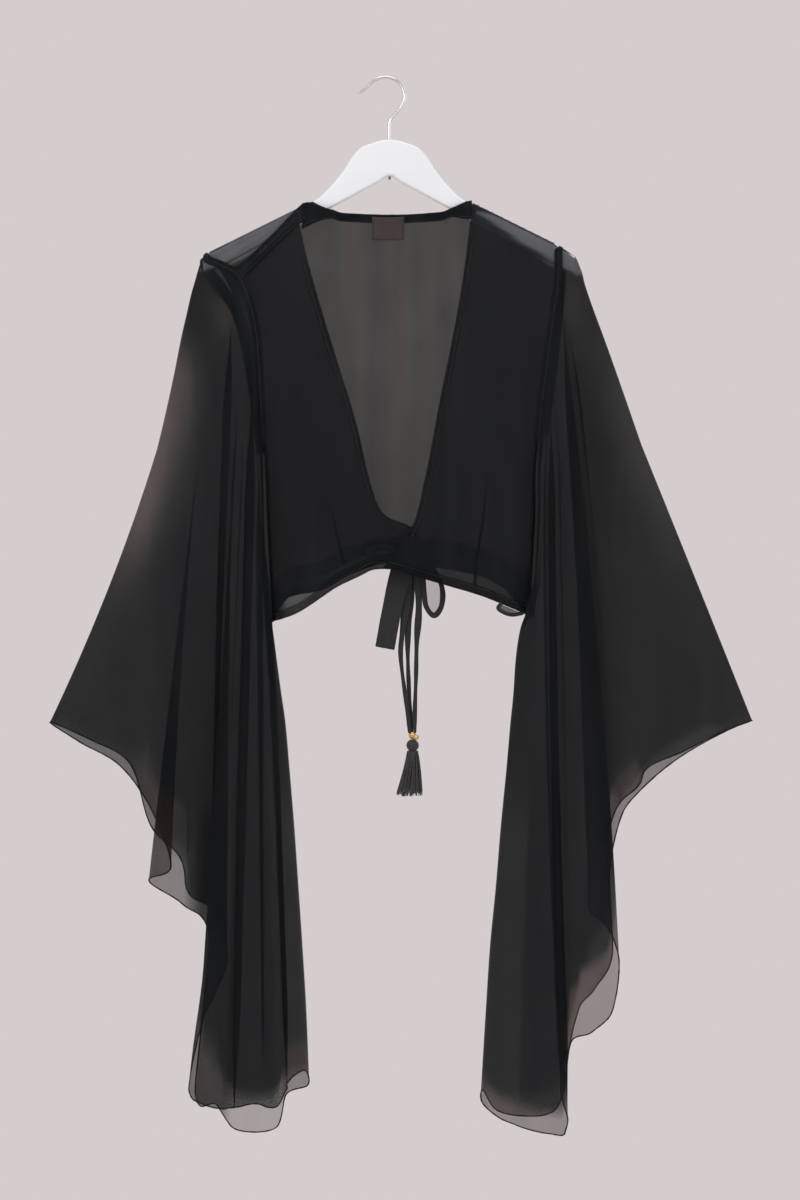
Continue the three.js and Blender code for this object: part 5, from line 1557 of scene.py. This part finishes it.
ties = {
    "knot": (34, 21.9, -556), "knotSize": (24, 12, 17), "leftLoop": 2.4, "rightLoop": 3.3,
    "sideLoop": 2.4, "strand": 2.7, "strandTop": 4.7, "flatEnd": 22,
}
bowRight = [
    (43, 24.2, -562), (61, 25, -579), (69, 25, -600), (67, 24, -621), (59, 23, -630), (50, 22, -620),
    (47.5, 21, -600), (45, 20, -562.2),
]
bowLeft = [
    (23, 26.9, -551), (2, 28, -543), (-20, 27, -547), (-26, 24, -556), (-14, 22, -560.5),
    (6, 22, -558), (21.6, 21.9, -557),
]
flatEnd = [(27, 18.3, -561.5), (17.5, 18, -590), (9.5, 17.5, -622), (1, 17, -668)]
strands = [
    [(30.5, 22.3, -564.6), (26, 22.3, -612), (21, 21.3, -655), (19.5, 20, -673), (21, 20, -694),
     (25.7, 20, -729), (30, 20, -767.3)],
    [(34.5, 25.2, -564.3), (31, 27, -612), (28, 26, -659), (29.4, 26, -717), (33, 25, -767)],
    [(39.5, 21, -564), (41, 21, -623), (38.7, 21, -659), (37.6, 21, -706), (36.4, 21, -741),
     (36.6, 20.5, -767.3)],
]
tassel = {
    "at": (33.7, 22.5, -783.4), "head": 15, "length": 54, "threads": 190, "root": 6.4, "spread": 0.19,
    "thread": 0.42, "seed": 11, "lean": 0.07,
}


# sheer too, so the waist shows no dark bar
def makeWaistTie():
    low, high = 0.3 * body["rows"] / 9, 0.72 * body["rows"] / 9
    rows = []
    for k in range(6):
        place = mix(low, high, k / 5)
        j, t = int(place), place - int(place)
        rows.append([a.lerp(b, t) for a, b in zip(backGrid[j], backGrid[j + 1])])
    piece = dress(strip("waistTie", rows, -1.3, narrow["waist"], 0.6), band, "tie_cloth", "waist_tie")
    stitches = [stitching("waistTieStitch%d" % k, moved(rows, -1.7)[k], 3.0) for k in (1, 4)]
    return piece, dress(joined("waistTieStitches", stitches), sewing, "seam_cloth")


# cloth wound twice round itself: an egg with slanting wraps and small pinches
def makeKnot():
    x0, y0, z0 = ties["knot"]
    wide, deep, high = (s / 2 - 0.4 for s in ties["knotSize"])
    around, levels = 56, 36
    vertices = []
    for j in range(1, levels):
        lean = math.pi * j / levels
        for i in range(around):
            turn = 2 * math.pi * i / around
            wrap = math.sin(5.0 * lean + 1.3 * math.sin(turn) + 0.8 * math.cos(2 * turn))
            crumple = noise.noise(Vector((math.cos(turn) * 2, math.sin(turn) * 2, lean * 2.3)))
            swell = 1 + 0.055 * wrap - 0.05 + 0.07 * crumple
            vertices.append(Vector((
                x0 + wide * swell * math.cos(lean),
                y0 + deep * swell * math.sin(lean) * math.cos(turn),
                z0 + high * swell * math.sin(lean) * math.sin(turn))))
    faces = gridFaces(levels - 1, around)
    ends = [Vector((x0 + wide, y0, z0)), Vector((x0 - wide, y0, z0))]
    first, last = len(vertices), len(vertices) + 1
    base = (levels - 2) * around
    faces += [(first, (i + 1) % around, i) for i in range(around)]
    faces += [(last, base + i, base + (i + 1) % around) for i in range(around)]
    return dress(facingOut(meshObject("tieKnot", vertices + ends, faces)), tieCloth, "tie_cloth", "tie_knot")


def layCord(name, node, rows, steps, wide, radius, sides, flat):
    points = Path(rows).evenly(steps)
    cord = dress(tube(name, points, radius, sides, flat=flat), tieCloth, "tie_cloth", node)
    return cord, {"exit": points[0] * mm, "length": Path(rows).length * mm, "diameter": wide * mm,
                  "stiffness": "limp", "lay": "hanging", "path": [p * mm for p in points]}


def makeLoop(name, rows, node, wide, faces=()):
    def radius(t):
        pinch = 0.72 + 0.28 * math.sin(math.pi * t)
        return wide * pinch * (1 + 0.05 * math.sin(t * 40))
    loop, facts = layCord(name, node, rows, 90, 2 * wide, radius, 14, 0.62)
    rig.cord(loop, **facts, far_end="object", with_pieces=list(faces))


# the strip's own sheer width, seen flat inside a loop
def loopFace(name, points, cover):
    count = len(points) - 1
    rows = [[points[i].lerp(points[count - i], k / 8) + Vector((0, 0.3 * math.sin(math.pi * k / 8), 0))
             for i in range(count // 2)] for k in range(9)]
    return dress(strip(name, rows, 0, cover, 0.3), band, "tie_cloth")


def makeFlatEnd():
    path = Path(flatEnd)

    def point(t, share):
        along = (path.at(t + 0.02) - path.at(t - 0.02)).normalized()
        side = Vector((along.z, 0, -along.x)).normalized()
        width = ties["flatEnd"] * mix(1.2, 1, ease(0.1, 0.6, t))
        place = share - 0.5
        wave = 1.1 * math.sin(place * 7 + t * 2.5) * (0.4 + 0.6 * t)
        pinch = 2.2 * math.cos(place * 11) * (1 - ease(0, 0.3, t))
        return path.at(t) + side * place * width + Vector((0, wave + pinch, 0))

    rows = gridFrom(12, 48, point)
    piece = strip("tieEnd", rows, 0, narrow["flatEnd"], 0.6)
    folds = [edging("tieEndSide%d" % k, rows[k], 0.6) for k in (0, -1)]
    folds.append(edging("tieEndFoot", [row[-1] for row in rows], 0.7))
    return dress(joined("tieEnd", [piece, *folds]), tieCloth, "tie_cloth", "tie_end")


def makeStrands():
    made = []
    for i, rows in enumerate(strands):
        def radius(t, i=i):
            wide = mix(ties["strandTop"], ties["strand"], ease(0.28, 0.62, t))
            return wide * (0.9 + 0.1 * math.sin(t * 26 + i * 2)) * (1 - 0.25 * ease(0.94, 1, t))
        made.append(layCord("tieStrand%d" % (i + 1), "tie_strand_%d" % (i + 1), rows, 110,
                            2.3 * ties["strand"], radius, 12, 0.55))
    return made


def makeBeads():
    made = []
    for name, node, (x, y, z), r in (("bead1", "bead_1", (33.5, 22.5, -771.4), 4.7),
                                     ("bead2", "bead_2", (37.6, 16.8, -773.4), 3.6)):
        profile = [(r * 0.3, r * 0.78)]
        for k in range(1, 18):
            lean = mix(0.36, math.pi - 0.36, k / 18)
            ring = 1 - 0.035 * (1 if 8 <= k <= 10 else 0)
            profile.append((r * math.sin(lean) * ring, r * math.cos(lean)))
        profile.append((r * 0.3, -r * 0.78))
        bead = ringTurned(name, profile, (x, y, z), 28)
        made.append(dress(bead, gold, "bead_gold", node))
    return made


# a wound head over a skirt of loose threads
def makeTassel():
    x, y, z = tassel["at"]
    r = tassel["head"] / 2
    profile = [(0.9, r * 0.98)]
    for k in range(1, 22):
        lean = mix(0.14, 2.55, k / 22)
        profile.append((r * math.sin(lean) * (1 + 0.02 * math.sin(k * 3)), r * math.cos(lean) * 0.98))
    waist = -r * 0.86
    for k in range(6):
        profile.append((r * 0.6 + 0.35 * (k % 2), waist - 0.9 * k))
    profile.append((r * 0.5, waist - 5.2))
    head = ringTurned("tasselHead", profile, (x, y, z), 40)
    wound = bmesh.new()
    wound.from_mesh(head.data)
    for vertex in wound.verts:
        p = vertex.co / mm - Vector((x, y, z))
        rib = 0.16 * math.sin(22 * math.atan2(p.y, p.x))
        flat = Vector((p.x, p.y, 0)).normalized()
        vertex.co += flat * rib * mm
    wound.to_mesh(head.data)
    wound.free()
    seed = placed(bpy.data.objects.new("tasselSkirt", bpy.data.meshes.new("tasselSkirt")))
    skirt = fringeNodes.run(seed, {
        "Threads": tassel["threads"], "Length": tassel["length"] * mm, "Root": tassel["root"] * mm,
        "Spread": tassel["spread"], "Thread": tassel["thread"] * mm, "Seed": tassel["seed"],
        "Material": fringe})
    foot = Vector((x, y, z - r * 0.86)) * mm
    for vertex in skirt.data.vertices:
        vertex.co.x += tassel["lean"] * vertex.co.z
        vertex.co += foot
    head.data.materials.append(fringe)
    return dress(joined("tassel", [head, skirt]), fringe, "tassel_thread", "tassel")


def makeSideLoop():
    hem = frontRightGrid[0]

    def hemPoint(x, drop):
        p = min(hem, key=lambda p: abs(p.x - x))
        return (p.x, p.y, p.z - drop)
    start, end = hemPoint(137, 1.2), hemPoint(161, 1.2)
    rows = [start, (133.5, start[1] + 1, -621), (141, start[1] + 2, -626.5), (152, end[1], -629), end]
    face = loopFace("sideLoopFace", Path(rows).evenly(50), narrow["sideLoop"])
    wide = ties["sideLoop"]
    loop, facts = layCord("sideLoop", "side_loop", rows, 50, 2 * wide, lambda t: wide, 10, 0.6)
    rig.cord(loop, **facts, far_end="object", with_pieces=[face])


# The studio: an even pale room, a floor far below, soft light from in front

studio = {
    "backdrop": (0.665, 0.611, 0.611), "room": 1.0, "floor": -1750, "floorRadius": 1500,
    "away": 3300, "aim": (18.8, -611.6), "frameHeight": 1408.8, "sensor": 36,
}
lamps = [
    # name, place, aim, size, watts, colour
    ("softKey", (-1300, -2300, 500), (0, 0, -450), 1500, 17, (1, 0.98, 0.96)),
    ("softFill", (1700, -1900, -100), (0, 0, -650), 1600, 9, (0.96, 0.98, 1)),
    ("topSoft", (0, -300, 1500), (0, 0, -300), 1200, 8, (1, 1, 1)),
    ("rimSoft", (900, 1800, 400), (0, 0, -500), 1200, 8, (1, 1, 1)),
]


def makeStudio():
    world = bpy.data.worlds.new("studioRoom")
    bpy.context.scene.world = world
    world.use_nodes = True
    room = world.node_tree.nodes["Background"]
    room.inputs["Color"].default_value = (*studio["backdrop"], 1)
    room.inputs["Strength"].default_value = studio["room"]

    bpy.ops.mesh.primitive_circle_add(vertices=96, radius=studio["floorRadius"] * mm, fill_type="NGON",
                                      location=(0, 0, studio["floor"] * mm))
    floor = bpy.context.object
    floor.name = "studioFloor"
    pale = Finish("paleFloor", Roughness=0.9)
    mottle = pale.noise(pale.place(), 4, 3)
    pale.feed("Base Color", pale.blend((mottle * 0.3).within(0, 1), (0.80, 0.76, 0.75), (0.74, 0.70, 0.69)))
    floor.data.materials.append(pale.material)
    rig.stage(floor)

    for name, place, aim, size, watts, colour in lamps:
        light = bpy.data.lights.new(name, "AREA")
        light.size = size * mm
        light.energy = watts
        light.color = colour
        lamp = placed(bpy.data.objects.new(name, light))
        lamp.location = Vector(place) * mm
        lamp.rotation_euler = (Vector(aim) - Vector(place)).to_track_quat("-Z", "Y").to_euler()

    lens = bpy.data.cameras.new("camera")
    lens.sensor_fit = "VERTICAL"
    lens.sensor_height = studio["sensor"]
    lens.lens = studio["sensor"] * studio["away"] / studio["frameHeight"]
    camera = placed(bpy.data.objects.new("camera", lens))
    camera.location = Vector((studio["aim"][0], -studio["away"], studio["aim"][1])) * mm
    camera.rotation_euler = (math.pi / 2, 0, 0)
    bpy.context.scene.camera = camera
    bpy.context.scene.view_settings.view_transform = "Standard"
    bpy.context.scene.cycles.transparent_max_bounces = 48


makeStudio()

print("hanging the cloth")
makeHanger()
panels = {**makeTorso(), **makeSleeves()}

print("sewing the bands and seams")
sewnParts = {**makeHems(), **makeNeckline()}
shoulders = makeShoulders()
sewnParts.update(makeArmholes())
cuffs = makeSleeveHems()
sideSeams = makeSideSeams()
dartPieces = makeDarts()
label, labelSewing = makeLabel()

print("tying the waist")
waistTie, waistSewing = makeWaistTie()
knot = makeKnot()
bowFace = loopFace("bowLoopFace", Path(bowRight).evenly(90), narrow["bow"])
makeLoop("bowLoopRight", bowRight, "bow_loop_right", ties["rightLoop"], [bowFace])
makeLoop("bowLoopLeft", bowLeft, "bow_loop_left", ties["leftLoop"])
flatPiece = makeFlatEnd()
cords = makeStrands()
ends = [*makeBeads(), makeTassel()]
makeSideLoop()

print("declaring the cloth and the cords")
# cut sizes in metres (width, length, and the area inside them that the cut fills) and what is sewn on
cuts = {
    "back": ((0.43, 0.49), 0.155, ["hemBack", "neckBinding", "armholeLeftBack", "armholeRightBack"], sideSeams),
    "frontLeft": ((0.26, 0.48), 0.051, ["hemLeft", "neckEdgeLeft", "armholeLeftFront"],
                  [*shoulders["left"], dartPieces[1]]),
    "frontRight": ((0.24, 0.49), 0.058, ["hemRight", "neckEdgeRight", "armholeRightFront"],
                   [*shoulders["right"], dartPieces[0]]),
    "sleeveLeft": ((1.20, 0.92), 0.41, [], cuffs[:1]), "sleeveRight": ((1.15, 0.88), 0.38, [], cuffs[1:]),
}
for key, (size, area, bands, more) in cuts.items():
    sewnOn = [piece for name in bands for piece in sewnParts[name]] + more
    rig.sheet(panels[key], flat=size, held="hung", rests_on=["hanger_body"], area=area, with_pieces=sewnOn)
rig.sheet(label, flat=(0.038, 0.027), held="hung", rests_on=[panels["back"]], with_pieces=[labelSewing])
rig.sheet(waistTie, flat=(0.32, 0.021), held="hung", rests_on=[panels["back"]], with_pieces=[waistSewing, knot])
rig.sheet(flatPiece, flat=(0.024, 0.118), held="hung", rests_on=[knot])
for i, (strand, facts) in enumerate(cords):
    carries = i == 1
    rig.cord(strand, **facts, far_end="fitting" if carries else "object", with_pieces=ends if carries else [])

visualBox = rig.bounds()
with open("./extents.json", "w") as sizes:
    json.dump({"cad": [list(c) for c in cadBox], "visual": [list(c) for c in visualBox]}, sizes)
print("cad", cadBox, "visual", visualBox)
